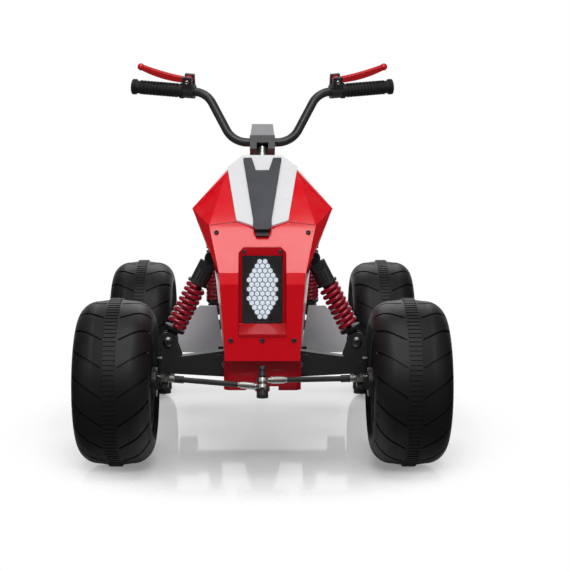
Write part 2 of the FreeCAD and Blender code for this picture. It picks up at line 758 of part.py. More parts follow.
def wheel_parts(prefix, half_track, back, tyre, rim):
    out = {}
    centre = at(half_track, back, AXLE_Z)
    for side, sign in (("left", 1), ("right", -1)):
        place = Vector(sign * centre.x, centre.y, centre.z)
        out["%s_tyre_%s" % (prefix, side)] = tyre.translated(place)
        turned = rim if sign > 0 else mirrored(rim)
        out["%s_rim_%s" % (prefix, side)] = turned.translated(place)
    return out


def make_main_frame():
    half = RAIL_WIDTH / 2
    rail = block(RAIL_X - half, RAIL_X + half, RAIL_START, RAIL_END, RAIL_BOTTOM, RAIL_TOP)
    cross = block(-RAIL_X, RAIL_X, CROSS_START, CROSS_END, RAIL_TOP - RAIL_WIDTH, RAIL_TOP)
    outrigger = block(-REST_OUTER_X, REST_OUTER_X, OUTRIGGER_START, OUTRIGGER_END,
                      RAIL_BOTTOM, RAIL_BOTTOM + OUTRIGGER_THICK)
    pieces = [mirrored(rail), cross, outrigger]
    ear_foot = ARM_PIVOT_Z - FRAME_EAR_HEIGHT / 2
    face = ARM_PIVOT_REACH + SIDE_GAP
    for start, end in ((-face - FRAME_EAR_THICK, -face), (face, face + FRAME_EAR_THICK)):
        ear = block(RAIL_X, RAIL_X + FRAME_EAR_WIDTH, start, end, ear_foot, ear_foot + FRAME_EAR_HEIGHT)
        pieces += [ear, mirrored(ear)]
    frame = joined(rail, *pieces)
    reach = face + FRAME_EAR_THICK + OVERRUN
    bore = rod(at(ARM_PIVOT_X, -reach, ARM_PIVOT_Z), at(ARM_PIVOT_X, reach, ARM_PIVOT_Z),
               ARM_BOLT_RADIUS + RUN_GAP)
    seat = rod(on_column(RAIL_TOP - 2 * RAIL_WIDTH), on_column(RAIL_TOP + 2 * RAIL_WIDTH), BUSH_RADIUS)
    pivot = disc(SWING_PIVOT, ACROSS, SWING_BOLT_RADIUS + RUN_GAP, 2 * (RAIL_X + RAIL_WIDTH))
    room = half - RAIL_WALL
    hollow = block(RAIL_X - room, RAIL_X + room, RAIL_START - OVERRUN, RAIL_END + OVERRUN,
                   RAIL_BOTTOM + RAIL_WALL, RAIL_TOP - RAIL_WALL)
    return frame.cut([bore, mirrored(bore), seat, pivot, hollow, mirrored(hollow)])


def make_suspension_bolts():
    reach = ARM_PIVOT_REACH + SIDE_GAP + FRAME_EAR_THICK
    head = ARM_BOLT_RADIUS / 2
    arm = rod(at(ARM_PIVOT_X, -reach, ARM_PIVOT_Z), at(ARM_PIVOT_X, reach, ARM_PIVOT_Z), ARM_BOLT_RADIUS)
    arm_nut = rod(at(ARM_PIVOT_X, reach, ARM_PIVOT_Z), at(ARM_PIVOT_X, reach + head, ARM_PIVOT_Z),
                  ARM_BOLT_RADIUS * BOLT_HEAD_SHARE)
    arm_bolt = joined(arm, arm_nut)
    cap = FRONT_SHOCK_TOP - ALONG * (SHOCK_EYE_LENGTH / 2 + SIDE_GAP)
    shock = rod(cap, FRONT_SHOCK_TOP + ALONG * TOWER_START, SHOCK_BOLT_RADIUS)
    shock_bolt = joined(shock, rod(cap - ALONG * head, cap, SHOCK_BOLT_RADIUS * BOLT_HEAD_SHARE))
    swing_reach = RAIL_X + RAIL_WIDTH / 2
    swing = disc(SWING_PIVOT, ACROSS, SWING_BOLT_RADIUS, 2 * swing_reach)
    swing_head = disc(SWING_PIVOT + ACROSS * (swing_reach + head / 2), ACROSS,
                      SWING_BOLT_RADIUS * BOLT_HEAD_SHARE, head)
    swing_bolt = joined(swing, swing_head, mirrored(swing_head))
    return Part.makeCompound([arm_bolt, mirrored(arm_bolt), shock_bolt, mirrored(shock_bolt), swing_bolt])


def shock_bridge(grow):
    # cross plate that carries the tops of the front shocks
    half = SHOCK_BRIDGE_HALF_WIDTH + grow
    foot = FRONT_SHOCK_TOP_Z - SHOCK_BRIDGE_HEIGHT / 2 - grow
    top = FRONT_SHOCK_TOP_Z + SHOCK_BRIDGE_HEIGHT / 2 + grow
    return block(-half, half, TOWER_START - SHOCK_BRIDGE_THICK - grow, TOWER_START + grow, foot, top)


def make_front_tower():
    inner = TOWER_PLATE_GAP / 2
    outer = inner + TOWER_PLATE_THICK
    plate = block(inner, outer, TOWER_START, TOWER_END, RAIL_TOP + SEAT_GAP, TOWER_TOP)
    top = block(-outer, outer, TOWER_START, TOWER_END, TOWER_TOP - TOWER_BLOCK_HEIGHT, TOWER_TOP)
    tower = joined(plate, mirrored(plate), top, shock_bridge(0))
    seat = rod(on_column(TOWER_TOP - 3 * TOWER_BLOCK_HEIGHT), on_column(TOWER_TOP + 3 * TOWER_BLOCK_HEIGHT),
               BUSH_RADIUS)
    hole = disc(FRONT_SHOCK_TOP, ALONG, SHOCK_BOLT_RADIUS + RUN_GAP, 2 * TOWER_START)
    return tower.cut([seat, hole, mirrored(hole)])


def make_column_bushes():
    out = []
    for top, height in ((RAIL_TOP, RAIL_WIDTH), (TOWER_TOP, TOWER_BLOCK_HEIGHT)):
        start = on_column(top - height + height / 4)
        end = on_column(top)
        sleeve = rod(start, end, BUSH_RADIUS - SEAT_GAP / 2)
        wide = BUSH_RADIUS + BUSH_FLANGE
        lift = end + STEER_AXIS * (wide * math.tan(math.radians(STEER_RAKE)) + SEAT_GAP)
        collar = rod(lift, lift + STEER_AXIS * BUSH_FLANGE, wide)
        neck = rod(end, lift, BUSH_RADIUS - SEAT_GAP / 2)
        bore = rod(start - STEER_AXIS * OVERRUN, lift + STEER_AXIS * (BUSH_FLANGE + OVERRUN),
                   COLUMN_RADIUS + RUN_GAP)
        out.append(joined(sleeve, neck, collar).cut(bore))
    return Part.makeCompound(out)


def make_column():
    return rod(STEER_FOOT, on_column(COLUMN_TOP_Z), COLUMN_RADIUS)


def make_pitman():
    half = PITMAN_THICK / 2
    low = STEER_FOOT_Z - half
    boss = disc(STEER_FOOT, STEER_AXIS, PITMAN_BOSS_RADIUS, 2 * PITMAN_THICK)
    bar = block(-PITMAN_WIDTH / 2, PITMAN_WIDTH / 2, STEER_FOOT_BACK - PITMAN_AHEAD, STEER_FOOT_BACK,
                low, low + PITMAN_THICK)
    tip = rod(PITMAN_TIP - UP * half, PITMAN_TIP + UP * half, PITMAN_WIDTH / 2)
    hole = rod(STEER_FOOT, STEER_FOOT + STEER_AXIS * (2 * PITMAN_THICK), COLUMN_RADIUS + SEAT_GAP / 2)
    arm = joined(boss, bar, tip).cut(hole)
    end = PITMAN_TIP + STEER_AXIS * PITMAN_BOLT_LENGTH
    bolt = rod(PITMAN_TIP, end, PITMAN_BOLT_RADIUS)
    spacer = rod(PITMAN_TIP, TIE_LOW - STEER_AXIS * (TIE_BALL_RADIUS + SEAT_GAP), PITMAN_HEAD_RADIUS)
    head = rod(end, end + STEER_AXIS * PITMAN_HEAD_HEIGHT, PITMAN_HEAD_RADIUS)
    nut_start = TIE_HIGH + STEER_AXIS * (TIE_BALL_RADIUS + SEAT_GAP)
    nut = rod(nut_start, nut_start + STEER_AXIS * PITMAN_HEAD_HEIGHT, PITMAN_HEAD_RADIUS)
    return joined(arm, bolt, spacer, head, nut)


def make_tie_ball(centre):
    # a ball cut flat at both ends, on the steering bolt
    step = TIE_HIGH_STEP - TIE_LOW_STEP
    keep = rod(centre - STEER_AXIS * (step / 2 - SEAT_GAP), centre + STEER_AXIS * (step / 2 - SEAT_GAP),
               TIE_BALL_RADIUS * 2)
    hole = rod(centre - STEER_AXIS * step, centre + STEER_AXIS * step, PITMAN_BOLT_RADIUS + RUN_GAP)
    return ball(centre, TIE_BALL_RADIUS).common(keep).cut(hole)


def make_tie_rod(inner, outer):
    way = (outer - inner).normalize()
    first = disc(inner, STEER_AXIS, TIE_RING_RADIUS, TIE_INNER_RING_HEIGHT)
    last = disc(outer, UP, TIE_OUTER_RING_RADIUS, TIE_RING_HEIGHT)
    shaft = rod(inner + way * TIE_BALL_RADIUS, outer - way * (BALL_RADIUS + LINK_GAP), TIE_ROD_RADIUS)
    near = inner + way * (TIE_RING_RADIUS + TIE_SLEEVE_ROOM)
    far = outer - way * (TIE_OUTER_RING_RADIUS - SEAT_GAP)
    near_sleeve = rod(near, near + way * TIE_SLEEVE_LENGTH, TIE_SLEEVE_RADIUS)
    far_sleeve = rod(far - way * TIE_SLEEVE_LENGTH, far, TIE_SLEEVE_RADIUS)
    link = joined(first, last, shaft, near_sleeve, far_sleeve)
    return link.cut([ball(inner, TIE_BALL_RADIUS + RUN_GAP), ball(outer, BALL_RADIUS + LINK_GAP)])


def make_front_arm():
    legs = []
    root = ARM_ROOT_HEIGHT / 2
    tip = ARM_TIP_HEIGHT / 2
    for sign, width, height_share in ((-1, ARM_FRONT_WIDTH, 1.0), (1, ARM_REAR_WIDTH, 0.62)):
        mid = sign * (ARM_PIVOT_REACH - ARM_TUBE_LENGTH / 2)
        end = sign * ARM_TIP_WIDTH / 3
        half = width / 2
        near = [at(ARM_PIVOT_X, mid - half, ARM_PIVOT_Z - root * height_share),
                at(ARM_PIVOT_X, mid + half, ARM_PIVOT_Z - root * height_share),
                at(ARM_PIVOT_X, mid + half, ARM_PIVOT_Z + root * height_share),
                at(ARM_PIVOT_X, mid - half, ARM_PIVOT_Z + root * height_share)]
        half = ARM_TIP_WIDTH / 2
        far = [at(KINGPIN_X, end - half, ARM_TIP_Z - tip), at(KINGPIN_X, end + half, ARM_TIP_Z - tip),
               at(KINGPIN_X, end + half, ARM_TIP_Z + tip), at(KINGPIN_X, end - half, ARM_TIP_Z + tip)]
        legs.append(loft([loop(near), loop(far)]))
        tube_end = sign * ARM_PIVOT_REACH
        tube_start = sign * (ARM_PIVOT_REACH - ARM_TUBE_LENGTH)
        legs.append(rod(at(ARM_PIVOT_X, tube_start, ARM_PIVOT_Z), at(ARM_PIVOT_X, tube_end, ARM_PIVOT_Z),
                        ARM_TUBE_RADIUS))
    boss = rod(at(KINGPIN_X, 0, ARM_TIP_Z - tip), at(KINGPIN_X, 0, ARM_TIP_Z + tip),
               KNUCKLE_SLEEVE_RADIUS - SIDE_GAP)
    gap = SHOCK_EYE_LENGTH / 2 + SIDE_GAP
    cheeks = []
    for start, end in ((-gap - SHOCK_CHEEK_THICK, -gap), (gap, gap + SHOCK_CHEEK_THICK)):
        half = SHOCK_EYE_RADIUS
        points = [at(FRONT_SHOCK_FOOT_X - 2 * half, start, ARM_TIP_Z), at(KINGPIN_X, start, ARM_TIP_Z),
                  at(FRONT_SHOCK_FOOT_X + half, start, FRONT_SHOCK_FOOT_Z),
                  at(FRONT_SHOCK_FOOT_X - half, start, FRONT_SHOCK_FOOT_Z)]
        cheeks.append(prism(points, ALONG * (end - start)))
        cheeks.append(rod(at(FRONT_SHOCK_FOOT_X, start, FRONT_SHOCK_FOOT_Z),
                          at(FRONT_SHOCK_FOOT_X, end, FRONT_SHOCK_FOOT_Z), SHOCK_CHEEK_RADIUS))
    reach = gap + SHOCK_CHEEK_THICK
    bolt = disc(FRONT_SHOCK_FOOT, ALONG, SHOCK_BOLT_RADIUS, 2 * reach)
    front = FRONT_SHOCK_FOOT - ALONG * reach
    head = rod(front - ALONG * (SHOCK_BOLT_RADIUS / 2), front, SHOCK_BOLT_RADIUS * BOLT_HEAD_SHARE)
    sleeve_top = ARM_TIP_Z - tip - SIDE_GAP
    pin_foot = KNUCKLE_BOTTOM - SIDE_GAP
    pin = rod(at(KINGPIN_X, 0, pin_foot), at(KINGPIN_X, 0, sleeve_top + tip), KINGPIN_RADIUS)
    nut = rod(at(KINGPIN_X, 0, pin_foot - KINGPIN_NUT_HEIGHT), at(KINGPIN_X, 0, pin_foot),
              KINGPIN_RADIUS * BOLT_HEAD_SHARE)
    arm = joined(boss, *(legs + cheeks + [pin, nut]))
    length = 2 * ARM_PIVOT_REACH + 2 * OVERRUN
    bore = disc(at(ARM_PIVOT_X, 0, ARM_PIVOT_Z), ALONG, ARM_BOLT_RADIUS + RUN_GAP, length)
    room = disc(FRONT_SHOCK_FOOT, ALONG, SHOCK_EYE_RADIUS + SIDE_GAP, 2 * gap)
    return joined(arm.cut([bore, room]), bolt, head)


def make_knuckle():
    top = ARM_TIP_Z - ARM_TIP_HEIGHT / 2 - SIDE_GAP
    sleeve = rod(at(KINGPIN_X, 0, KNUCKLE_BOTTOM), at(KINGPIN_X, 0, top), KNUCKLE_SLEEVE_RADIUS)
    flange_x = KINGPIN_X + KNUCKLE_SLEEVE_RADIUS
    flange = rod(at(flange_x, 0, AXLE_Z), at(flange_x + KNUCKLE_FLANGE_THICK, 0, AXLE_Z),
                 KNUCKLE_FLANGE_RADIUS)
    web = block(KINGPIN_X, flange_x + KNUCKLE_FLANGE_THICK / 2,
                -KNUCKLE_SLEEVE_RADIUS, KNUCKLE_SLEEVE_RADIUS,
                KNUCKLE_BOTTOM, top)
    stub_end = FRONT_HALF_TRACK + HUB_HALF_LENGTH + SIDE_GAP
    stub = rod(at(flange_x, 0, AXLE_Z), at(stub_end, 0, AXLE_Z), AXLE_RADIUS)
    collar = rod(at(flange_x, 0, AXLE_Z), at(FRONT_HALF_TRACK - HUB_HALF_LENGTH - SIDE_GAP, 0, AXLE_Z),
                 AXLE_RADIUS * 1.7)
    nut = rod(at(stub_end, 0, AXLE_Z), at(stub_end + STUB_NUT_LENGTH, 0, AXLE_Z), STUB_NUT_RADIUS)
    plate_top = STEER_BALL_Z - TIE_RING_HEIGHT - LINK_GAP
    plate_foot = plate_top - STEER_ARM_THICK
    root = at(KINGPIN_X, 0, plate_foot)
    tip = Vector(STEER_BALL.x, STEER_BALL.y, plate_foot)
    side = UP.cross(tip - root).normalize() * (STEER_ARM_WIDTH / 2)
    arm = prism([root + side, tip + side * 0.8, tip - side * 0.8, root - side], UP * STEER_ARM_THICK)
    end = rod(tip, tip + UP * STEER_ARM_THICK, STEER_ARM_WIDTH * 0.4)
    stud = rod(tip, STEER_BALL, BALL_STUD_RADIUS)
    body = joined(sleeve, flange, web, stub, collar, nut, arm, end, stud, ball(STEER_BALL, BALL_RADIUS))
    bore = rod(at(KINGPIN_X, 0, KNUCKLE_BOTTOM - OVERRUN), at(KINGPIN_X, 0, top + OVERRUN),
               KINGPIN_RADIUS + RUN_GAP)
    return body.cut(bore)


def make_shock(top, foot, pin_way):
    reach = (foot - top).Length
    way = (foot - top).normalize()
    eye = disc(top, pin_way, SHOCK_TOP_EYE_RADIUS, SHOCK_EYE_LENGTH)
    cap = rod(top + way * SHOCK_CAP_START, top + way * SHOCK_CAP_END, SHOCK_CAP_RADIUS)
    keep = disc(top, pin_way, SHOCK_CAP_RADIUS * 2, SHOCK_EYE_LENGTH)
    shoulder = top + way * SHOCK_TOP_EYE_RADIUS
    room = disc(top, pin_way, SHOCK_EYE_RADIUS + SHOCK_CAP_START, SHOCK_CAP_RADIUS * 4).cut(keep)
    tube = rod(shoulder, top + way * SHOCK_TUBE_END, SHOCK_TUBE_RADIUS)
    flange_at = SHOCK_CAP_END - SHOCK_CAP_FLANGE
    flange = rod(top + way * flange_at, top + way * SHOCK_CAP_END, SHOCK_CUP_RADIUS)
    flute_start = top + way * (SHOCK_EYE_RADIUS + SHOCK_CAP_START + SHOCK_FLUTE_RUN)
    flute_end = top + way * (flange_at - SHOCK_FLUTE_RUN)
    across = way.cross(pin_way).normalize()
    flutes = []
    for i in range(SHOCK_FLUTE_COUNT):
        turn = 2 * math.pi * (i + 0.5) / SHOCK_FLUTE_COUNT
        out = (pin_way * math.cos(turn) + across * math.sin(turn)) * SHOCK_CAP_RADIUS
        flutes.append(rod(flute_start + out, flute_end + out, SHOCK_FLUTE_RADIUS))
    upper = joined(eye, cap.cut([room] + flutes), flange, tube)
    cup_at = reach - SHOCK_CUP_FROM_EYE
    rod_top = SHOCK_CAP_END
    bore = rod(top + way * (rod_top - SHOCK_STROKE_ROOM), top + way * (SHOCK_TUBE_END + OVERRUN),
               SHOCK_ROD_RADIUS + RUN_GAP)
    pin = disc(top, pin_way, SHOCK_BOLT_RADIUS + RUN_GAP, SHOCK_EYE_LENGTH + 2 * OVERRUN)
    upper = upper.cut([pin, bore])
    lower_eye = disc(foot, pin_way, SHOCK_EYE_RADIUS, SHOCK_EYE_LENGTH)
    cup = rod(top + way * (cup_at - SHOCK_CUP_THICK), top + way * cup_at, SHOCK_CUP_RADIUS)
    neck = rod(top + way * (cup_at - SHOCK_CUP_THICK), foot, SHOCK_TUBE_RADIUS)
    shaft = rod(top + way * rod_top, top + way * cup_at, SHOCK_ROD_RADIUS)
    lower = joined(lower_eye, cup, neck, shaft)
    lower = lower.cut(disc(foot, pin_way, SHOCK_BOLT_RADIUS + EYE_PLAY, SHOCK_EYE_LENGTH + 2 * OVERRUN))
    spring = coil(top + way * SHOCK_CAP_END, way, cup_at - SHOCK_CUP_THICK - SHOCK_CAP_END)
    return upper, lower, spring


def make_handlebar():
    rise = at(BAR_RISE_X, BAR_MID_BACK, BAR_MID_Z)
    points = [BAR_MID, rise, BAR_KNEE, BAR_END - GRIP_WAY * (GRIP_END_WALL + SEAT_GAP)]
    half = piped(bent_path(points, BAR_BEND_RADIUS), BAR_MID, ACROSS, BAR_RADIUS)
    core = points[:-1] + [BAR_END]
    hollow = piped(bent_path(core, BAR_BEND_RADIUS), BAR_MID, ACROSS, BAR_BORE_RADIUS)
    half = half.cut(hollow)
    return half.fuse(mirrored(half)).removeSplitter()


def make_grip():
    grip = rod(GRIP_START, BAR_END, GRIP_RADIUS)
    flange = rod(GRIP_START, GRIP_START + GRIP_WAY * GRIP_FLANGE_LENGTH, GRIP_FLANGE_RADIUS)
    end = rod(BAR_END - GRIP_WAY * GRIP_FLANGE_LENGTH, BAR_END, GRIP_FLANGE_RADIUS)
    ribs = []
    run = GRIP_LENGTH - 4 * GRIP_FLANGE_LENGTH
    pitch = run / GRIP_RIB_COUNT
    for i in range(GRIP_RIB_COUNT):
        start = GRIP_START + GRIP_WAY * (2 * GRIP_FLANGE_LENGTH + pitch * i)
        ribs.append(rod(start, start + GRIP_WAY * (pitch / 2), GRIP_RADIUS + GRIP_RIB_HEIGHT))
    bore = rod(GRIP_START - GRIP_WAY * OVERRUN, BAR_END - GRIP_WAY * GRIP_END_WALL,
               BAR_RADIUS + SEAT_GAP / 2)
    return joined(grip, flange, end, *ribs).cut(bore)


def make_perch():
    frame = local(PERCH_MID, GRIP_WAY, LEVER_LIFT)
    sleeve = disc(PERCH_MID, GRIP_WAY, PERCH_RADIUS, PERCH_LENGTH)
    body = Part.makeBox(PERCH_BLOCK_LENGTH, PERCH_BLOCK_WIDTH, PERCH_HEIGHT,
                        Vector(-PERCH_BLOCK_LENGTH / 2, -PERCH_BLOCK_WIDTH / 2, 0))
    slot_width = LEVER_THICK + 2 * SIDE_GAP
    slot = Part.makeBox(PERCH_BLOCK_LENGTH + 2 * OVERRUN, slot_width, PERCH_HEIGHT,
                        Vector(-PERCH_BLOCK_LENGTH / 2 - OVERRUN, -slot_width / 2, PERCH_RADIUS + SIDE_GAP))
    block_part = placed(body.cut(slot), frame)
    pin = disc(LEVER_PIN, LEVER_PIN_WAY, LEVER_PIN_RADIUS, PERCH_BLOCK_WIDTH)
    bore = disc(PERCH_MID, GRIP_WAY, BAR_RADIUS + SEAT_GAP / 2, PERCH_LENGTH + 2 * OVERRUN)
    return joined(joined(sleeve, block_part).cut(bore), pin)


def make_lever():
    # drawn flat in the plane of the grip, then set on its pin
    frame = local(LEVER_PIN, GRIP_WAY, LEVER_LIFT)
    rise = LEVER_TIP_RISE - LEVER_PIN_RISE
    half = LEVER_DEPTH / 2
    thick = LEVER_THICK / 2
    eye = Part.makeCylinder(LEVER_PIN_RISE - PERCH_RADIUS - 2 * SIDE_GAP, LEVER_THICK,
                            Vector(0, -thick, 0), ALONG)
    way = Vector(LEVER_LENGTH, 0, rise).normalize()
    side = Vector(-way.z, 0, way.x)
    first = side * half * 0.75
    second = side * half
    last = side * half * 0.7
    tip = Vector(LEVER_LENGTH, 0, rise)
    middle = tip * 0.5 - side * LEVER_SAG
    depth = Vector(0, -thick, 0)
    edges = [arc(first + depth, middle + second + depth, tip + last + depth),
             line(tip + last + depth, tip - last + depth),
             arc(tip - last + depth, middle - second + depth, depth - first),
             line(depth - first, first + depth)]
    blade = Part.Face(Part.Wire(edges)).extrude(ALONG * LEVER_THICK)
    knob = Part.makeSphere(LEVER_TIP_RADIUS, tip)
    hole = Part.makeCylinder(LEVER_PIN_RADIUS + RUN_GAP, LEVER_THICK + 2 * OVERRUN,
                             Vector(0, -thick - OVERRUN, 0), ALONG)
    return placed(joined(eye, blade, knob).cut(hole), frame)


def column_room(radius):
    return rod(STEER_FOOT - STEER_AXIS * STEER_FOOT_Z, on_column(COLUMN_TOP_Z), radius + COLUMN_ROOM)


def make_clamp():
    frame = local(BAR_MID, ACROSS, STEER_AXIS)
    body = Part.makeBox(2 * CLAMP_HALF_WIDTH, CLAMP_DEPTH, CLAMP_BELOW + CLAMP_ABOVE,
                        Vector(-CLAMP_HALF_WIDTH, -CLAMP_DEPTH / 2, -CLAMP_BELOW))
    notch = Part.makeBox(CLAMP_NOTCH, CLAMP_DEPTH, CLAMP_BELOW - BAR_RADIUS + OVERRUN,
                         Vector(-CLAMP_NOTCH / 2, -CLAMP_DEPTH, -CLAMP_BELOW - OVERRUN))
    clamp = placed(body.cut(notch), frame)
    bar = disc(BAR_MID, ACROSS, BAR_RADIUS + SEAT_GAP / 2, 2 * CLAMP_HALF_WIDTH + 2 * OVERRUN)
    column = rod(STEER_FOOT, on_column(COLUMN_TOP_Z) + STEER_AXIS * SEAT_GAP, COLUMN_RADIUS + SEAT_GAP / 2)
    return clamp.cut([bar, column])


def make_cap():
    frame = local(BAR_MID, ACROSS, STEER_AXIS)
    low = CLAMP_ABOVE + SEAT_GAP
    high = low + CAP_HEIGHT
    half = CAP_DEPTH / 2
    ring = [Vector(-CAP_HALF_WIDTH, -half, low), Vector(CAP_HALF_WIDTH, -half, low),
            Vector(CAP_TOP_HALF_WIDTH, -half, high), Vector(-CAP_TOP_HALF_WIDTH, -half, high)]
    cap = placed(prism(ring, ALONG * CAP_DEPTH), frame)
    bar = disc(BAR_MID, ACROSS, BAR_RADIUS + SEAT_GAP / 2, 2 * CAP_HALF_WIDTH + 2 * OVERRUN)
    return cap.cut(bar)


def fairing_points():
    points = {}
    for name in FAIRING_SHARES:
        place = fairing_corner(name)
        points[name] = place
        points["-" + name] = Vector(-place.x, place.y, place.z)
    for name in ("hood_waist", "-hood_waist"):
        place = points[name]
        share = (place.y - HOOD_LOW.y) / HOOD_RUN.y
        points[name] = Vector(place.x, place.y, HOOD_LOW.z + HOOD_RUN.z * share)
    return points


FAIRING_FRONT = [
    ("-foot_front", "foot_front", "step_low", "-step_low"),
    ("-step_low", "step_low", "step_high", "-step_high"),
    ("-step_high", "step_high", "brow", "-brow"),
    ("-brow", "brow", "hood_waist", "-hood_waist"),
    ("-hood_waist", "hood_waist", "top", "-top"),
]
FAIRING_SIDE = [
    ("foot_front", "foot_side", "step_low_side"), ("foot_front", "step_low_side", "step_low"),
    ("step_low", "step_low_side", "step_high_side"), ("step_low", "step_high_side", "step_high"),
    ("step_high", "step_high_side", "wing"), ("step_high", "wing", "brow"),
    ("brow", "wing", "hood_waist"), ("wing", "top_side", "hood_waist"), ("top_side", "top", "hood_waist"),
    ("step_high_side", "low_rear", "wing_rear"), ("step_high_side", "wing_rear", "wing"),
    ("step_low_side", "low_rear", "step_high_side"),
    ("wing", "wing_rear", "top_rear"), ("wing", "top_rear", "top_side"), ("top_side", "top_rear", "top"),
]
FAIRING_OPEN = [
    ("-foot_front", "foot_front", "foot_side", "-foot_side"),
    ("-foot_side", "foot_side", "step_low_side", "-step_low_side"),
    ("-step_low_side", "step_low_side", "low_rear", "-low_rear"),
    ("-low_rear", "low_rear", "wing_rear", "-wing_rear"),
    ("-wing_rear", "wing_rear", "top_rear", "-top_rear"),
    ("-top_rear", "top_rear", "top", "-top"),
]


def other_side(face):
    return tuple(name[1:] if name.startswith("-") else "-" + name for name in face)


def pocket(grow):
    # the lamp opening, straight back from the nose
    half = LAMP_HALF_WIDTH + grow
    low = LAMP_BOTTOM - grow
    high = LAMP_TOP + grow
    cut = LAMP_CORNER
    nose = FAIRING_NOSE - OVERRUN
    ring = [at(-half, nose, low), at(half, nose, low), at(half, nose, high - cut),
            at(half - cut, nose, high), at(cut - half, nose, high), at(-half, nose, high - cut)]
    return prism(ring, ALONG * (LAMP_POCKET_BACK + grow - nose))


def vent_points(grow):
    # the flat opening in the left flank of the fairing, below the wing corner
    points = fairing_points()
    front, back, wing = (points[n] for n in ("step_high", "step_high_side", "wing"))
    out = []
    for along, up in VENT_SHARES:
        foot = front + (back - front) * along
        out.append(foot + (wing - foot) * up)
    centre = (out[0] + out[1] + out[2] + out[3]) * 0.25
    normal = (out[2] - out[0]).cross(out[3] - out[1]).normalize()
    if normal.x < 0:
        normal = normal * -1
    flat = [p - normal * normal.dot(p - centre) for p in out]
    return [p + (p - centre).normalize() * grow for p in flat], normal, centre


def make_fairing():
    points = fairing_points()
    walls = FAIRING_FRONT + FAIRING_SIDE + [other_side(f) for f in FAIRING_SIDE]
    inside = at(0, FAIRING_NOSE + FAIRING_LENGTH * 0.3, FAIRING_FOOT_Z + FAIRING_HEIGHT / 2)
    outer = folded(points, walls + FAIRING_OPEN)
    inner = folded(inset(points, walls, FAIRING_OPEN, FAIRING_WALL, inside), walls + FAIRING_OPEN)
    shell = outer.cut(inner.cut(pocket(FAIRING_WALL)))
    ring, normal = vent_points(SEAT_GAP)[:2]
    deep = OVERRUN * 4
    window = prism([p - normal * deep for p in ring], normal * (2 * deep))
    way = (FRONT_SHOCK_FOOT - FRONT_SHOCK_TOP).normalize()
    notch = rod(FRONT_SHOCK_TOP - way * (SHOCK_EYE_RADIUS + SHOCK_NOTCH_GAP),
                FRONT_SHOCK_TOP + way * SHOCK_CAP_END, SHOCK_CUP_RADIUS + SHOCK_NOTCH_GAP)
    scoop = make_scoop(points)
    return shell.cut([pocket(0), window, mirrored(window), notch, mirrored(notch), scoop, mirrored(scoop),
                      shock_bridge(SHOCK_NOTCH_GAP), column_room(COLUMN_RADIUS)])


def make_scoop(points):
    # shallow pocket in the shoulder facet, along its upper edge
    brow, wing, waist = (points[name] for name in ("brow", "wing", "hood_waist"))
    normal = (wing - brow).cross(waist - brow).normalize()
    if normal.z < 0:
        normal = normal * -1
    ring = []
    for along, down in SCOOP_SHARES:
        edge = wing + (waist - wing) * along
        ring.append(edge + (brow - edge) * down - normal * SCOOP_DEPTH)
    return prism(ring, normal * (SCOOP_DEPTH + OVERRUN))


def make_side_vents():
    ring, normal, centre = vent_points(0)
    plate = prism([p - normal * FAIRING_WALL for p in ring], normal * VENT_PLATE_THICK)
    up = (ring[3] - ring[0]).normalize()
    along = up.cross(normal).normalize()
    holes = []
    rows = int((ring[3] - ring[0]).Length / VENT_HOLE_PITCH / 2) + 1
    for i in range(-rows, rows + 1):
        for j in range(-rows - 2, rows + 3):
            shift = along * (VENT_HOLE_PITCH * (j + (i % 2) * 0.5)) + up * (VENT_HOLE_PITCH * 0.866 * i)
            place = centre + shift
            room = min(edge_room(place, ring, normal, k) for k in range(4))
            if room > VENT_HOLE_PITCH * 0.6:
                corners = []
                for k in range(6):
                    turn = math.radians(60 * k + 30)
                    corners.append(place + along * (VENT_HOLE_RADIUS * math.cos(turn))
                                   + up * (VENT_HOLE_RADIUS * math.sin(turn)) - normal * (2 * OVERRUN))
                holes.append(prism(corners, normal * (4 * OVERRUN)))
    return both(plate.cut(holes))


def edge_room(place, ring, normal, k):
    start = ring[k]
    way = (ring[(k + 1) % 4] - start).normalize()
    return abs((place - start).dot(normal.cross(way)))  # distance from one border


def make_lamp_surround():
    # frame with a sloped ledge below and a sloped brow above the lamp
    gap = SEAT_GAP
    outer = LAMP_HALF_WIDTH - gap
    inner = outer - SURROUND_WALL
    back = LAMP_POCKET_BACK - gap
    deep = back - (FAIRING_NOSE + OVERRUN)
    low = LAMP_BOTTOM + gap
    high = LAMP_TOP - gap
    face = HOUSING_THICK + LENS_THICK + 2 * gap
    ledge = [at(-outer, back, low), at(-outer, back - deep, low),
             at(-outer, back - deep, low + SURROUND_WALL), at(-outer, back - face, low + SURROUND_LEDGE),
             at(-outer, back, low + SURROUND_LEDGE)]
    brow = [at(-outer, back, high), at(-outer, back - SURROUND_BROW, high),
            at(-outer, back - face, high - SURROUND_BROW), at(-outer, back, high - SURROUND_BROW)]
    ledge_part = prism(ledge, ACROSS * (2 * outer))
    brow_part = prism(brow, ACROSS * (2 * outer))
    cheek = block(inner, outer, LAMP_POCKET_BACK - gap - face, back, low, high)
    body = joined(ledge_part, brow_part, cheek, mirrored(cheek))
    return body.common(pocket(-gap))


def lamp_window():
    gap = SEAT_GAP
    half = LAMP_HALF_WIDTH - SURROUND_WALL - 2 * gap
    return half, LAMP_BOTTOM + SURROUND_LEDGE + 2 * gap, LAMP_TOP - SURROUND_BROW - 2 * gap


def make_lamp_housing():
    half, low, high = lamp_window()
    back = LAMP_POCKET_BACK - SEAT_GAP
    tray = block(-half, half, back - HOUSING_THICK, back, low, high)
    wall = HOUSING_WALL
    room = block(wall - half, half - wall, back - HOUSING_THICK - OVERRUN, back - wall,
                 low + wall, high - wall)
    return tray.cut(room)


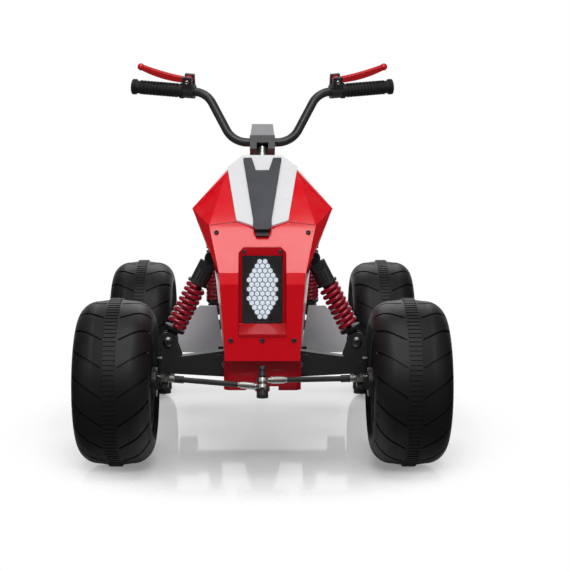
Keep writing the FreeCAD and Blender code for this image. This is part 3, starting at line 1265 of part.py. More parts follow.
def make_lamp_cells():
    # board with a plain honeycomb of light cells
    half, low, high = lamp_window()
    wall = HOUSING_WALL + SEAT_GAP
    back = LAMP_POCKET_BACK - HOUSING_WALL - 2 * SEAT_GAP
    front = back - CELL_BOARD_THICK
    board = block(wall - half, half - wall, front, back, low + wall, high - wall)
    middle = (low + high) / 2
    cells = []
    for row, columns in enumerate(CELL_COUNTS):
        z = middle + CELL_PITCH * math.sqrt(3) / 2 * (row - (len(CELL_COUNTS) - 1) / 2)
        for k in range(columns):
            x = CELL_PITCH * (k - (columns - 1) / 2)
            ring = []
            for turn in range(30, 390, 60):
                ring.append(at(x + CELL_RADIUS * math.cos(math.radians(turn)), front,
                               z + CELL_RADIUS * math.sin(math.radians(turn))))
            cells.append(prism(ring, ALONG * -CELL_HEIGHT))
    return joined(board, *cells)


def make_lamp_lens():
    half, low, high = lamp_window()
    front = LAMP_POCKET_BACK - 2 * SEAT_GAP - HOUSING_THICK
    return block(-half, half, front - LENS_THICK, front, low, high)


def hood_ring(shares, lift):
    left = [on_hood(FAIRING_HALF_WIDTH * width, share, lift) for width, share in shares]
    return left + [Vector(-p.x, p.y, p.z) for p in reversed(left)]


def make_hood_panel():
    panel = prism(hood_ring(HOOD_PANEL_SHARES, SEAT_GAP), HOOD_OUT * HOOD_PANEL_THICK)
    room = loop(hood_ring(SPINE_SHARES, -OVERRUN)).makeOffset2D(SPINE_GAP, 2)
    cut = Part.Face(room).extrude(HOOD_OUT * (SPINE_THICK + 2 * OVERRUN))
    return panel.cut([cut, column_room(COLUMN_RADIUS)])


def make_hood_spine():
    # flat spine on the hood with a tongue that turns down over the brow
    spine = prism(hood_ring(SPINE_SHARES, SEAT_GAP), HOOD_OUT * SPINE_THICK)
    down = fairing_corner("step_high") - fairing_corner("brow")
    down = Vector(0, down.y, down.z).normalize()
    out = down.cross(ACROSS).normalize()
    top = Vector(0, HOOD_LOW.y, HOOD_LOW.z) + out * SEAT_GAP
    foot = top + down * TONGUE_LENGTH
    half = ACROSS * TONGUE_HALF_WIDTH
    tongue = prism([top - half, top + half, foot + half, foot - half], out * TONGUE_THICK)
    return joined(spine, tongue).cut(column_room(COLUMN_RADIUS))


def make_skid_box():
    # folded sheet: front plate, top, bottom and sides, open at the back
    half = SKID_HALF_WIDTH
    back = RAIL_START - SEAT_GAP
    top = FAIRING_FOOT_Z - SEAT_GAP
    cut = SKID_CORNER
    ring = [at(-half, back, SKID_BOTTOM), at(-half, SKID_FRONT + cut, SKID_BOTTOM),
            at(cut - half, SKID_FRONT, SKID_BOTTOM), at(half - cut, SKID_FRONT, SKID_BOTTOM),
            at(half, SKID_FRONT + cut, SKID_BOTTOM), at(half, back, SKID_BOTTOM)]
    outer = prism(ring, UP * (top - SKID_BOTTOM))
    wall = SKID_WALL
    room = block(wall - half, half - wall, SKID_FRONT + cut + wall, back + OVERRUN,
                 SKID_BOTTOM + wall, top - wall)
    slot = block(-SKID_SLOT_HALF_WIDTH, SKID_SLOT_HALF_WIDTH, SKID_FRONT - OVERRUN, back + OVERRUN,
                 SKID_BOTTOM - OVERRUN, STEER_FOOT_Z + PITMAN_THICK / 2 + COLUMN_ROOM)
    return outer.cut([room, slot, column_room(PITMAN_BOSS_RADIUS)])


def body_ring(row, wall, drop):
    y, top_w, mid_w, foot_w, top, middle, foot = body_corner(row)
    left = [at(foot_w - wall, y, foot - drop), at(mid_w - wall, y, middle), at(top_w - wall, y, top - wall)]
    return loop(left + [Vector(-p.x, p.y, p.z) for p in reversed(left)])


def make_rear_body():
    outer = loft([body_ring(row, 0, 0) for row in BODY_SHARES])
    inner = loft([body_ring(row, BODY_WALL, OVERRUN) for row in BODY_SHARES[:-1]])
    shell = outer.cut(inner)
    wide = SWITCH_WIDTH + 2 * SWITCH_GAP
    long = SWITCH_LENGTH + 2 * SWITCH_GAP
    slot = Part.makeBox(wide, long, 4 * OVERRUN, Vector(-wide / 2, -long / 2, -2 * OVERRUN))
    switch = placed(slot, local(DASH_MID - ACROSS * SWITCH_X, ACROSS, DASH_OUT))
    button = disc(DASH_MID + ACROSS * SWITCH_X, DASH_OUT, BUTTON_STEM_RADIUS + SEAT_GAP, 4 * OVERRUN)
    bar = disc(at(0, REAR_SHOCK_TOP_BACK, REAR_SHOCK_TOP_Z), ACROSS, REAR_POST_RADIUS + SHOCK_NOTCH_GAP,
               4 * BODY_HALF_WIDTH)
    return shell.cut([switch, button, bar])


def make_direction_switch():
    # rocker with a raised front half, on a cross pin under the dash
    half = SWITCH_LENGTH / 2
    lift = half * math.tan(math.radians(SWITCH_TILT))
    edge = -SWITCH_WIDTH / 2
    dip = SWITCH_HEIGHT / 2
    ring = [Vector(edge, -half, -SWITCH_DEPTH), Vector(edge, half, -SWITCH_DEPTH),
            Vector(edge, half, dip + lift), Vector(edge, 0, dip), Vector(edge, -half, dip + lift)]
    rocker = prism(ring, ACROSS * SWITCH_WIDTH)
    round_off = Part.makeCylinder(half, SWITCH_WIDTH, Vector(edge, 0, 0), ACROSS)
    keep = Part.makeBox(SWITCH_WIDTH, SWITCH_LENGTH, SWITCH_DEPTH, Vector(edge, -half, 0))
    rocker = rocker.common(joined(round_off, keep))
    return placed(rocker, local(DASH_MID - ACROSS * SWITCH_X, ACROSS, DASH_OUT))


def make_power_button():
    start = DASH_MID + ACROSS * SWITCH_X
    travel = BUTTON_HEIGHT / 2
    head = rod(start + DASH_OUT * travel, start + DASH_OUT * (travel + BUTTON_HEIGHT), BUTTON_RADIUS)
    stem = rod(start - DASH_OUT * BUTTON_STEM, start + DASH_OUT * travel, BUTTON_STEM_RADIUS)
    return joined(head, stem)


def seat_ring(share, half, thick):
    # tucked sides and a crowned top
    back = SEAT_START + share * SEAT_LENGTH
    foot = deck_height(back) + SEAT_GAP
    tuck = SEAT_TUCK * thick / SEAT_THICK
    waist = foot + thick * 0.45
    edge = foot + thick - SEAT_CROWN * 0.6
    left = [at(half - tuck, back, foot), at(half, back, waist), at(half - tuck * 0.7, back, edge)]
    right = [Vector(-p.x, p.y, p.z) for p in left]
    top = at(0, back, foot + thick)
    edges = [line(right[0], left[0]), line(left[0], left[1]), line(left[1], left[2]),
             arc(left[2], top, right[2]), line(right[2], right[1]), line(right[1], right[0])]
    return Part.Wire(edges)


def make_seat():
    nose = SEAT_NOSE_HALF_WIDTH
    mid = SEAT_MID_HALF_WIDTH
    rings = []
    for share, half, thick in ((0.0, nose * 0.8, SEAT_THICK * 0.62), (0.1, nose, SEAT_THICK * 0.95),
                               (0.45, (nose + mid) / 2, SEAT_THICK), (0.82, mid, SEAT_THICK * 1.08),
                               (1.0, mid * 0.84, SEAT_THICK * 0.8)):
        rings.append(seat_ring(share, half, thick))
    seat = Part.makeLoft(rings, True, False)
    cutters = []
    for share in SEAT_CHANNEL_SHARES:
        back = SEAT_START + share * SEAT_LENGTH
        top = deck_height(back) + SEAT_GAP + SEAT_THICK
        cutters.append(block(-2 * mid, 2 * mid, back, back + SEAT_CHANNEL_WIDTH,
                             top - SEAT_CHANNEL_DEPTH, top + SEAT_THICK))
    return seat.cut(cutters)


def make_battery_box():
    half = BATTERY_BOX_HALF_WIDTH
    low = RAIL_TOP + SEAT_GAP
    high = BODY_FLOOR_Z - SEAT_GAP
    wall = BATTERY_BOX_WALL
    box = block(-half, half, BATTERY_BOX_START, BATTERY_BOX_END, low, high)
    room = block(wall - half, half - wall, BATTERY_BOX_START + wall, BATTERY_BOX_END - wall,
                 low + wall, high + OVERRUN)
    return box.cut(room)


def make_battery():
    low = RAIL_TOP + BATTERY_BOX_WALL + 2 * SEAT_GAP
    high = min(low + BATTERY_HEIGHT, BODY_FLOOR_Z - 2 * SEAT_GAP)
    end = BATTERY_START + BATTERY_LENGTH
    return both(block(SEAT_GAP, SEAT_GAP + BATTERY_WIDTH, BATTERY_START, end, low, high))


def make_footrest():
    low = RAIL_BOTTOM + OUTRIGGER_THICK + SEAT_GAP
    high = low + REST_THICK
    floor = block(REST_INNER_X, REST_OUTER_X, REST_START, REST_END, low, high)
    lip = high + REST_LIP_HEIGHT
    inner_lip = block(REST_INNER_X, REST_INNER_X + REST_THICK, REST_START, REST_END, low, lip)
    outer_lip = block(REST_OUTER_X - REST_THICK, REST_OUTER_X, REST_START, REST_END,
                      low, high + REST_LIP_HEIGHT / 2)
    rise = TOE_TOP_Z - low
    toe_ring = [at(REST_INNER_X, REST_START, low), at(REST_OUTER_X, REST_START, low),
                at(REST_OUTER_X, REST_START, lip), at(TOE_OUTER_X, REST_START, TOE_TOP_Z),
                at(TOE_INNER_X, REST_START, TOE_TOP_Z), at(REST_INNER_X, REST_START, lip)]
    toe = prism(toe_ring, ALONG * REST_THICK)
    brace = [at(TOE_INNER_X, REST_START, low + rise * 0.7), at(TOE_INNER_X, REST_START + rise * 0.4, high),
             at(TOE_INNER_X, REST_START, high)]
    pieces = [inner_lip, outer_lip, toe, prism(brace, ACROSS * REST_THICK)]
    pitch = (REST_END - TREAD_START) / TREAD_RIB_COUNT
    for i in range(TREAD_RIB_COUNT):
        start = TREAD_START + pitch * (i + 0.4)
        pieces.append(block(REST_INNER_X + REST_LIP_HEIGHT, REST_OUTER_X - REST_LIP_HEIGHT, start,
                            start + TREAD_RIB_WIDTH, high, high + TREAD_RIB_HEIGHT))
    return joined(floor, *pieces)


def make_right_footrest():
    rest = mirrored(make_footrest())
    inner = PEDAL_HALF_WIDTH + SIDE_GAP
    lugs = []
    for start in (PEDAL_HINGE.x - inner - PEDAL_LUG_THICK, PEDAL_HINGE.x + inner):
        lugs.append(block(start, start + PEDAL_LUG_THICK, PEDAL_HINGE_BACK - PEDAL_TUBE_RADIUS,
                          PEDAL_HINGE_BACK + PEDAL_TUBE_RADIUS, PEDAL_FLOOR - REST_THICK / 2,
                          PEDAL_HINGE.z + PEDAL_TUBE_RADIUS))
    pin = disc(PEDAL_HINGE, ACROSS, PEDAL_PIN_RADIUS, 2 * (inner + PEDAL_LUG_THICK))
    return joined(rest, pin, *lugs)


def make_pedal():
    half = PEDAL_HALF_WIDTH
    tube = disc(PEDAL_HINGE, ACROSS, PEDAL_TUBE_RADIUS, 2 * half)
    plate = Part.makeBox(2 * half, PEDAL_LENGTH, PEDAL_THICK,
                         Vector(-half, -PEDAL_LENGTH, -PEDAL_THICK / 2))
    ribs = []
    for share in (0.3, 0.5, 0.7, 0.9):
        ribs.append(Part.makeBox(2 * half - PEDAL_THICK, TREAD_RIB_WIDTH, PEDAL_THICK,
                                 Vector(PEDAL_THICK / 2 - half, -PEDAL_LENGTH * share, 0)))
    raised = joined(plate, *ribs)
    raised.rotate(Vector(0, 0, 0), ACROSS, -PEDAL_REST_ANGLE)
    raised.translate(PEDAL_HINGE)
    bore = disc(PEDAL_HINGE, ACROSS, PEDAL_PIN_RADIUS + RUN_GAP, 2 * half + 2 * OVERRUN)
    return joined(tube, raised).cut(bore)


def make_swing_arm():
    root = SWING_BEAM_HEIGHT / 2
    ends = []
    for middle, half, rise in ((SWING_PIVOT, SWING_ROOT_HALF_WIDTH, root * SWING_TAPER_SHARE),
                               (REAR_AXLE, SWING_TIP_HALF_WIDTH, root)):
        ends.append(loop([middle + Vector(-half, 0, -rise), middle + Vector(half, 0, -rise),
                          middle + Vector(half, 0, rise), middle + Vector(-half, 0, rise)]))
    beam = loft(ends)
    clear = RAIL_X - RAIL_WIDTH / 2 - SIDE_GAP
    pivot = disc(SWING_PIVOT, ACROSS, SWING_TUBE_RADIUS, 2 * clear)
    tube = disc(REAR_AXLE, ACROSS, AXLE_TUBE_RADIUS, 2 * AXLE_TUBE_HALF_LENGTH)
    gap = SHOCK_EYE_LENGTH / 2 + SIDE_GAP
    pieces = []
    half = SHOCK_EYE_RADIUS * 0.8
    for start in (REAR_SHOCK_X - gap - SHOCK_CHEEK_THICK, REAR_SHOCK_X + gap):
        ring = [at(start, WHEELBASE - AXLE_TUBE_RADIUS, AXLE_Z), at(start, WHEELBASE + half, AXLE_Z),
                at(start, REAR_SHOCK_FOOT_BACK + half, REAR_SHOCK_FOOT_Z + half),
                at(start, REAR_SHOCK_FOOT_BACK - half, REAR_SHOCK_FOOT_Z + half),
                at(start, REAR_SHOCK_FOOT_BACK - half, REAR_SHOCK_FOOT_Z - half)]
        pieces.append(prism(ring, ACROSS * SHOCK_CHEEK_THICK))
    bolt = disc(REAR_SHOCK_FOOT, ACROSS, SHOCK_BOLT_RADIUS, 2 * (gap + SHOCK_CHEEK_THICK))
    pieces.append(bolt)
    pieces += [mirrored(p) for p in pieces]
    swing = joined(beam, pivot, tube, *pieces)
    return swing.cut([disc(SWING_PIVOT, ACROSS, SWING_BOLT_RADIUS + RUN_GAP, 4 * clear),
                      disc(REAR_AXLE, ACROSS, AXLE_RADIUS + SEAT_GAP / 2, 4 * AXLE_TUBE_HALF_LENGTH)])


def make_rear_axle():
    reach = REAR_HALF_TRACK + HUB_HALF_LENGTH + SIDE_GAP
    shaft = disc(REAR_AXLE, ACROSS, AXLE_RADIUS, 2 * reach)
    nut = disc(REAR_AXLE + ACROSS * (reach + STUB_NUT_LENGTH / 2), ACROSS, STUB_NUT_RADIUS, STUB_NUT_LENGTH)
    return joined(shaft, nut, mirrored(nut))


def make_gear_motors():
    start = AXLE_TUBE_HALF_LENGTH + GEAR_FROM_TUBE
    mid = REAR_AXLE + ACROSS * (start + GEAR_THICK / 2)
    gear = disc(mid, ACROSS, GEAR_RADIUS, GEAR_THICK)
    front = mid - ALONG * MOTOR_AHEAD
    nose = disc(front, ACROSS, MOTOR_RADIUS + RIM_WALL, GEAR_THICK)
    link = Part.makeBox(GEAR_THICK, MOTOR_AHEAD, 2 * MOTOR_RADIUS,
                        Vector(mid.x - GEAR_THICK / 2, front.y, AXLE_Z - MOTOR_RADIUS))
    inner = front - ACROSS * (GEAR_THICK / 2)
    motor = rod(inner - ACROSS * MOTOR_LENGTH, inner, MOTOR_RADIUS)
    case = joined(gear, nose, link, motor)
    return both(case.cut(disc(mid, ACROSS, AXLE_RADIUS + SEAT_GAP / 2, 2 * GEAR_THICK)))


def make_rear_tower():
    foot = at(RAIL_X, RAIL_END - RAIL_WIDTH, RAIL_TOP + SEAT_GAP)
    top = at(REAR_POST_TOP_X, REAR_SHOCK_TOP_BACK, REAR_SHOCK_TOP_Z)
    post = rod(foot - (top - foot).normalize() * RAIL_WIDTH, top, REAR_POST_RADIUS)
    post = post.cut(block(-2 * RAIL_X, 2 * RAIL_X, RAIL_START, RAIL_END + RAIL_TOP,
                          RAIL_BOTTOM, RAIL_TOP + SEAT_GAP))
    reach = REAR_SHOCK_X + SHOCK_EYE_LENGTH / 2 + SIDE_GAP
    bar = disc(at(0, REAR_SHOCK_TOP_BACK, REAR_SHOCK_TOP_Z), ACROSS, SHOCK_BOLT_RADIUS, 2 * reach)
    sleeve_reach = REAR_SHOCK_X - SHOCK_EYE_LENGTH / 2 - SIDE_GAP
    sleeve = disc(at(0, REAR_SHOCK_TOP_BACK, REAR_SHOCK_TOP_Z), ACROSS, REAR_BAR_RADIUS, 2 * sleeve_reach)
    cap = rod(REAR_SHOCK_TOP + ACROSS * (reach - REAR_SHOCK_X),
              REAR_SHOCK_TOP + ACROSS * (reach - REAR_SHOCK_X + REAR_BAR_CAP_LENGTH), REAR_BAR_CAP_RADIUS)
    return joined(post, mirrored(post), bar, sleeve, cap, mirrored(cap))


def make_all():
    parts = {
        "main_frame": make_main_frame(),
        "front_tower": make_front_tower(),
        "rear_tower": make_rear_tower(),
        "suspension_bolts": make_suspension_bolts(),
        "column_bushes": make_column_bushes(),
        "skid_box": make_skid_box(),
        "front_fairing": make_fairing(),
        "side_vents": make_side_vents(),
        "hood_panel": make_hood_panel(),
        "hood_spine": make_hood_spine(),
        "lamp_surround": make_lamp_surround(),
        "lamp_housing": make_lamp_housing(),
        "lamp_cells": make_lamp_cells(),
        "lamp_lens": make_lamp_lens(),
        "rear_body": make_rear_body(),
        "seat": make_seat(),
        "battery_box": make_battery_box(),
        "battery": make_battery(),
        "footrest_left": make_footrest(),
        "footrest_right": make_right_footrest(),
        "accelerator_pedal": make_pedal(),
        "direction_switch": make_direction_switch(),
        "power_button": make_power_button(),
        "steering_column": make_column(),
        "pitman_arm": make_pitman(),
        "handlebar": make_handlebar(),
        "handlebar_clamp": make_clamp(),
        "handlebar_cap": make_cap(),
        "grips": both(make_grip()),
        "lever_perches": both(make_perch()),
        "rear_swing_arm": make_swing_arm(),
        "rear_axle": make_rear_axle(),
        "gear_motors": make_gear_motors(),
        "tie_ball_left": make_tie_ball(TIE_HIGH),
        "tie_ball_right": make_tie_ball(TIE_LOW),
        "tie_rod_left": make_tie_rod(TIE_HIGH, STEER_BALL),
        "tie_rod_right": make_tie_rod(TIE_LOW, Vector(-STEER_BALL.x, STEER_BALL.y, STEER_BALL.z)),
    }
    pairs = {"lever": make_lever(), "front_arm": make_front_arm(), "knuckle": make_knuckle()}
    front_shock = make_shock(FRONT_SHOCK_TOP, FRONT_SHOCK_FOOT, ALONG)
    pairs.update(zip(("front_shock_body", "front_shock_rod", "front_shock_spring"), front_shock))
    for name, shape in pairs.items():
        parts[name + "_left"] = shape
        parts[name + "_right"] = mirrored(shape)
    rear_shock = make_shock(REAR_SHOCK_TOP, REAR_SHOCK_FOOT, ACROSS)
    for name, shape in zip(("bodies", "rods", "springs"), rear_shock):
        parts["rear_shock_" + name] = both(shape)
    tyre = make_tyre()
    rim = make_rim()
    parts.update(wheel_parts("front", FRONT_HALF_TRACK, 0, tyre, rim))
    parts.update(wheel_parts("rear", REAR_HALF_TRACK, WHEELBASE, tyre, rim))
    return parts


if __name__ == "__main__":
    os.makedirs("parts", exist_ok=True)
    for node, shape in make_all().items():
        print(node, "valid" if shape.isValid() else "NOT VALID", len(shape.Solids))
        shape.exportStep("parts/%s.step" % node)
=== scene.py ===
import json
import math
import bpy
import bmesh
from mathutils import Matrix, Vector
from mathutils.bvhtree import BVHTree


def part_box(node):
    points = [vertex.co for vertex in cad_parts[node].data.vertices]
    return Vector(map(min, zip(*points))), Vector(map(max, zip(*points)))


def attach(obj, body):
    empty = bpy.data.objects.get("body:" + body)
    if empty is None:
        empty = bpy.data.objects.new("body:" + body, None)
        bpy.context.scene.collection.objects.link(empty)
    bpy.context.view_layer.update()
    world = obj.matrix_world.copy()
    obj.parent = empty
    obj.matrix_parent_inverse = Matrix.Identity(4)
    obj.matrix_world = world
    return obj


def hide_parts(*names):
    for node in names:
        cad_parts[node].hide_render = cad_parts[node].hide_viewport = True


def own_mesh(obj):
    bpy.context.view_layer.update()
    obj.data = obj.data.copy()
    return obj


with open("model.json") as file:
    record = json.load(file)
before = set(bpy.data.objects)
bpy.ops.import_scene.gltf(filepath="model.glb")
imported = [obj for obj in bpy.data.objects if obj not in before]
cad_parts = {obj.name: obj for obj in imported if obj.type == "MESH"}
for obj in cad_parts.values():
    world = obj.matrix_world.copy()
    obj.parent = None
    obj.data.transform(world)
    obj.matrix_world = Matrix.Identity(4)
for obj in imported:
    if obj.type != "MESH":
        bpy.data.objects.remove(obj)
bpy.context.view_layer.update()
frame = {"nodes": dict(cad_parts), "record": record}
nodes = frame["nodes"]
scene = bpy.context.scene
scene.view_settings.view_transform = "Standard"
slotOf = {part["node"]: part["material_slot"] for part in frame["record"]["subparts"]}
bodyOf = {node: body for body, members in frame["record"]["behaviour"]["bodies"].items() for node in members}
jointOf = {joint["name"]: joint for joint in frame["record"]["behaviour"]["joints"]}
print("frame loaded:", len(nodes), "nodes")

# Shader helpers: a source is a plain value or the output of another node


def feed(tree, source, socket):
    if hasattr(source, "is_linked"):
        tree.links.new(source, socket)
    else:
        socket.default_value = source


def feedAll(tree, node, sources):
    for label, source in sources.items():
        feed(tree, source, node.inputs[label])


def mathNode(tree, operation, *sources):
    node = tree.nodes.new("ShaderNodeMath")
    node.operation = operation
    for socket, source in zip(node.inputs, sources):
        feed(tree, source, socket)
    return node.outputs[0]


def vectorNode(tree, operation, sources, output="Vector"):
    node = tree.nodes.new("ShaderNodeVectorMath")
    node.operation = operation
    feedAll(tree, node, sources)
    return node.outputs[output]


def rampNode(tree, source, low, high, outLow=0.0, outHigh=1.0, curve="SMOOTHSTEP"):
    node = tree.nodes.new("ShaderNodeMapRange")
    node.interpolation_type = curve
    feedAll(tree, node, {"Value": source, "From Min": low, "From Max": high, "To Min": outLow, "To Max": outHigh})
    return node.outputs["Result"]


def mixNode(tree, factor, first, second):
    node = tree.nodes.new("ShaderNodeMix")
    node.data_type = "RGBA"
    feedAll(tree, node, {"Factor": factor, "A": first, "B": second})
    return node.outputs["Result"]


def placeOf(tree, kind="Object"):
    return tree.nodes.new("ShaderNodeTexCoord").outputs[kind]


def axesOf(tree, source):
    split = tree.nodes.new("ShaderNodeSeparateXYZ")
    tree.links.new(source, split.inputs[0])
    return split.outputs


def noiseNode(tree, scale, detail, roughness=0.55):
    node = tree.nodes.new("ShaderNodeTexNoise")
    feedAll(tree, node, {"Vector": placeOf(tree), "Scale": scale, "Detail": detail, "Roughness": roughness})
    return node.outputs["Fac"]


def bumpNode(tree, height, strength, distance):
    node = tree.nodes.new("ShaderNodeBump")
    feedAll(tree, node, {"Height": height, "Strength": strength, "Distance": distance})
    return node.outputs["Normal"]


# Camera, floor and lights

cameraValues = {
    "place": (0.0, -2.693, 0.622),
    "pitchDown": 7.17,       # degrees below level
    "lens": 85.18,
    "shift": 0.0396,         # the machine stands left of the picture's middle
}


def placeCamera(values):
    data = bpy.data.cameras.new("frontCamera")
    data.lens = values["lens"]
    data.shift_x = values["shift"]
    camera = bpy.data.objects.new("frontCamera", data)
    camera.location = values["place"]
    camera.rotation_euler = (math.radians(90 - values["pitchDown"]), 0, 0)
    scene.collection.objects.link(camera)
    scene.camera = camera


placeCamera(cameraValues)

floorValues = {
    "half": 9.0, "drop": 0.0004, "seen": (0.95, 0.95, 0.955, 1), "bounce": (0.4, 0.4, 0.4, 1),
    "roughness": 0.055, "specular": 0.8, "lift": (0.22, 0.22, 0.22, 1),   # lift is shown to the camera alone
    "fadeScale": (2.2, 2.0, 1.0), "fadeStart": 0.85, "fadeEnd": 1.2,   # the floor melts into the white background
}


def layFloor(values):
    mesh = bpy.data.meshes.new("studioFloor")
    half = values["half"]
    corners = [(-half, -half, 0), (half, -half, 0), (half, half, 0), (-half, half, 0)]
    mesh.from_pydata(corners, [], [(0, 1, 2, 3)])
    floor = bpy.data.objects.new("studioFloor", mesh)
    floor.location = (0, 0, -values["drop"])
    scene.collection.objects.link(floor)
    material = bpy.data.materials.new("studioFloor")
    material.use_nodes = True
    tree = material.node_tree
    path = tree.nodes.new("ShaderNodeLightPath")
    spread = vectorNode(tree, "MULTIPLY", {0: placeOf(tree), 1: values["fadeScale"]})
    reach = vectorNode(tree, "LENGTH", {0: spread}, "Value")
    feedAll(tree, tree.nodes["Principled BSDF"], {
        "Roughness": values["roughness"], "Specular IOR Level": values["specular"], "Emission Strength": 1,
        "Base Color": mixNode(tree, path.outputs["Is Diffuse Ray"], values["seen"], values["bounce"]),
        "Emission Color": mixNode(tree, path.outputs["Is Camera Ray"], (0, 0, 0, 1), values["lift"]),
        "Alpha": rampNode(tree, reach, values["fadeStart"], values["fadeEnd"], 1.0, 0.0),
    })
    mesh.materials.append(material)


layFloor(floorValues)

worldValues = {
    "seen": (1, 1, 1, 1), "light": (0.31, 0.315, 0.325, 1),
    "roomShade": 0.03, "low": 0.14, "high": 0.42,   # reflections see the white backdrop under a dim ceiling
    "front": 0.72, "back": 0.95,
}


def paintWorld(values):
    world = bpy.data.worlds.new("studioWorld")
    scene.world = world
    world.use_nodes = True
    tree = world.node_tree
    path = tree.nodes.new("ShaderNodeLightPath").outputs
    way = axesOf(tree, placeOf(tree, "Generated"))
    below = rampNode(tree, way["Z"], values["high"], values["low"], curve="LINEAR")
    behind = rampNode(tree, way["Y"], values["front"], values["back"], curve="LINEAR")
    level = mathNode(tree, "MULTIPLY_ADD", below, behind, values["roomShade"])
    mirrored = mixNode(tree, path["Is Glossy Ray"], values["light"], level)
    direct = mathNode(tree, "MAXIMUM", path["Is Camera Ray"], path["Is Transmission Ray"])
    tree.links.new(mixNode(tree, direct, mirrored, values["seen"]), tree.nodes["Background"].inputs["Color"])


paintWorld(worldValues)

lampValues = {
    "overhead": {"place": (0.0, -0.9, 2.6), "aim": (0, -0.5, 0.2), "size": (1.4, 1.0), "power": 20},
    "frontHigh": {"place": (0.0, -2.4, 2.0), "aim": (0, -0.4, 0.35), "size": (1.1, 0.55), "power": 21},
    "leftFill": {"place": (2.0, -1.9, 1.3), "aim": (0, -0.2, 0.3), "size": (0.8, 1.0), "power": 3},
    "rightFill": {"place": (-2.0, -1.9, 1.3), "aim": (0, -0.2, 0.3), "size": (0.8, 1.0), "power": 3},
    "rear": {"place": (0.0, 2.2, 1.9), "aim": (0, 0.1, 0.3), "size": (2.0, 1.2), "power": 22},
}


def hangLamps(values):
    for name, lamp in values.items():
        data = bpy.data.lights.new(name, "AREA")
        data.shape = "RECTANGLE"
        data.size, data.size_y = lamp["size"]
        data.energy = lamp["power"]
        light = bpy.data.objects.new(name, data)
        light.location = lamp["place"]
        way = Vector(lamp["aim"]) - Vector(lamp["place"])
        light.rotation_euler = way.to_track_quat("-Z", "Y").to_euler()
        scene.collection.objects.link(light)


hangLamps(lampValues)
print("camera, floor and lamps placed")

# Shader groups that several finishes share

grainValues = {"fineDetail": 2.0, "broadShare": 0.03, "broadDetail": 4.0}
wearAndHighlightValues = {"samples": 4, "edge": (0.99, 0.86), "patchScale": 70.0, "patchDetail": 5.0, "patch": (0.36, 0.66)}
dustValues = {"up": (0.2, 1.0), "patchScale": 24.0, "patchDetail": 6.0, "patch": (0.3, 0.75), "dull": 0.4}


def newGroup(name, inputs, outputs):
    group = bpy.data.node_groups.new(name, "ShaderNodeTree")
    for label, value in inputs.items():
        kind = "NodeSocketColor" if isinstance(value, tuple) else "NodeSocketFloat"
        group.interface.new_socket(name=label, in_out="INPUT", socket_type=kind).default_value = value
    for label in outputs:
        kind = "NodeSocketColor" if label == "Color" else "NodeSocketFloat"
        group.interface.new_socket(name=label, in_out="OUTPUT", socket_type=kind)
    return group, group.nodes.new("NodeGroupInput").outputs, group.nodes.new("NodeGroupOutput")


def grainGroup(values):
    # moulded or cast texture: mottled colour, uneven gloss and a fine height
    group, given, made = newGroup("fineGrain", {
        "Color": (0.5, 0.5, 0.5, 1), "Mottle": 0.1, "Scale": 900.0, "Roughness": 0.4, "Uneven": 0.1,
    }, ("Color", "Roughness", "Height"))
    fine = noiseNode(group, given["Scale"], values["fineDetail"])
    broadScale = mathNode(group, "MULTIPLY", given["Scale"], values["broadShare"])
    broad = noiseNode(group, broadScale, values["broadDetail"])
    shade = mathNode(group, "SUBTRACT", mathNode(group, "ADD", fine, broad), 1.0)   # about zero on average
    level = mathNode(group, "MULTIPLY_ADD", shade, given["Mottle"], 1.0)
    offMiddle = mathNode(group, "SUBTRACT", broad, 0.5)
    feedAll(group, made, {
        "Color": vectorNode(group, "SCALE", {0: given["Color"], "Scale": level}),
        "Roughness": mathNode(group, "MULTIPLY_ADD", offMiddle, given["Uneven"], given["Roughness"]),
        "Height": fine,
    })
    return group


def edgeWearAndHighlightGroup(values):
    # paint or skin rubbed thin along the edges, broken up by noise; the lighter edge colour is also a painted
    # highlight along the edges
    group, given, made = newGroup("edgeWearAndHighlight", {
        "Color": (0.5, 0.5, 0.5, 1), "Worn": (0.7, 0.7, 0.7, 1), "Amount": 0.2, "Width": 0.0015,
    }, ("Color",))
    soft = group.nodes.new("ShaderNodeBevel")
    soft.samples = values["samples"]
    feed(group, given["Width"], soft.inputs["Radius"])
    surface = group.nodes.new("ShaderNodeNewGeometry")
    turned = vectorNode(group, "DOT_PRODUCT", {0: soft.outputs["Normal"], 1: surface.outputs["Normal"]}, "Value")
    edge = rampNode(group, turned, *values["edge"])
    patch = rampNode(group, noiseNode(group, values["patchScale"], values["patchDetail"]), *values["patch"])
    mask = mathNode(group, "MULTIPLY", mathNode(group, "MULTIPLY", edge, patch), given["Amount"])
    feed(group, mixNode(group, mask, given["Color"], given["Worn"]), made.inputs["Color"])
    return group


def dustGroup(values):
    # a thin film that settles where the surface faces up
    group, given, made = newGroup("settledDust", {
        "Color": (0.5, 0.5, 0.5, 1), "Dust": (0.5, 0.48, 0.45, 1), "Amount": 0.05, "Roughness": 0.4,
    }, ("Color", "Roughness"))
    surface = group.nodes.new("ShaderNodeNewGeometry")
    up = rampNode(group, axesOf(group, surface.outputs["Normal"])["Z"], *values["up"])
    patch = rampNode(group, noiseNode(group, values["patchScale"], values["patchDetail"]), *values["patch"])
    mask = mathNode(group, "MULTIPLY", mathNode(group, "MULTIPLY", up, patch), given["Amount"])
    feedAll(group, made, {
        "Color": mixNode(group, mask, given["Color"], given["Dust"]),
        "Roughness": mathNode(group, "MULTIPLY_ADD", mask, values["dull"], given["Roughness"]),
    })
    return group


sharedGroups = {
    "grain": grainGroup(grainValues), "wearAndHighlight": edgeWearAndHighlightGroup(wearAndHighlightValues), "dust": dustGroup(dustValues),
}


def useGroup(tree, name, **values):
    node = tree.nodes.new("ShaderNodeGroup")
    node.node_tree = sharedGroups[name]
    feedAll(tree, node, values)
    return node.outputs


# Finishes: one for each material slot of the record, and a few for single nodes and pieces

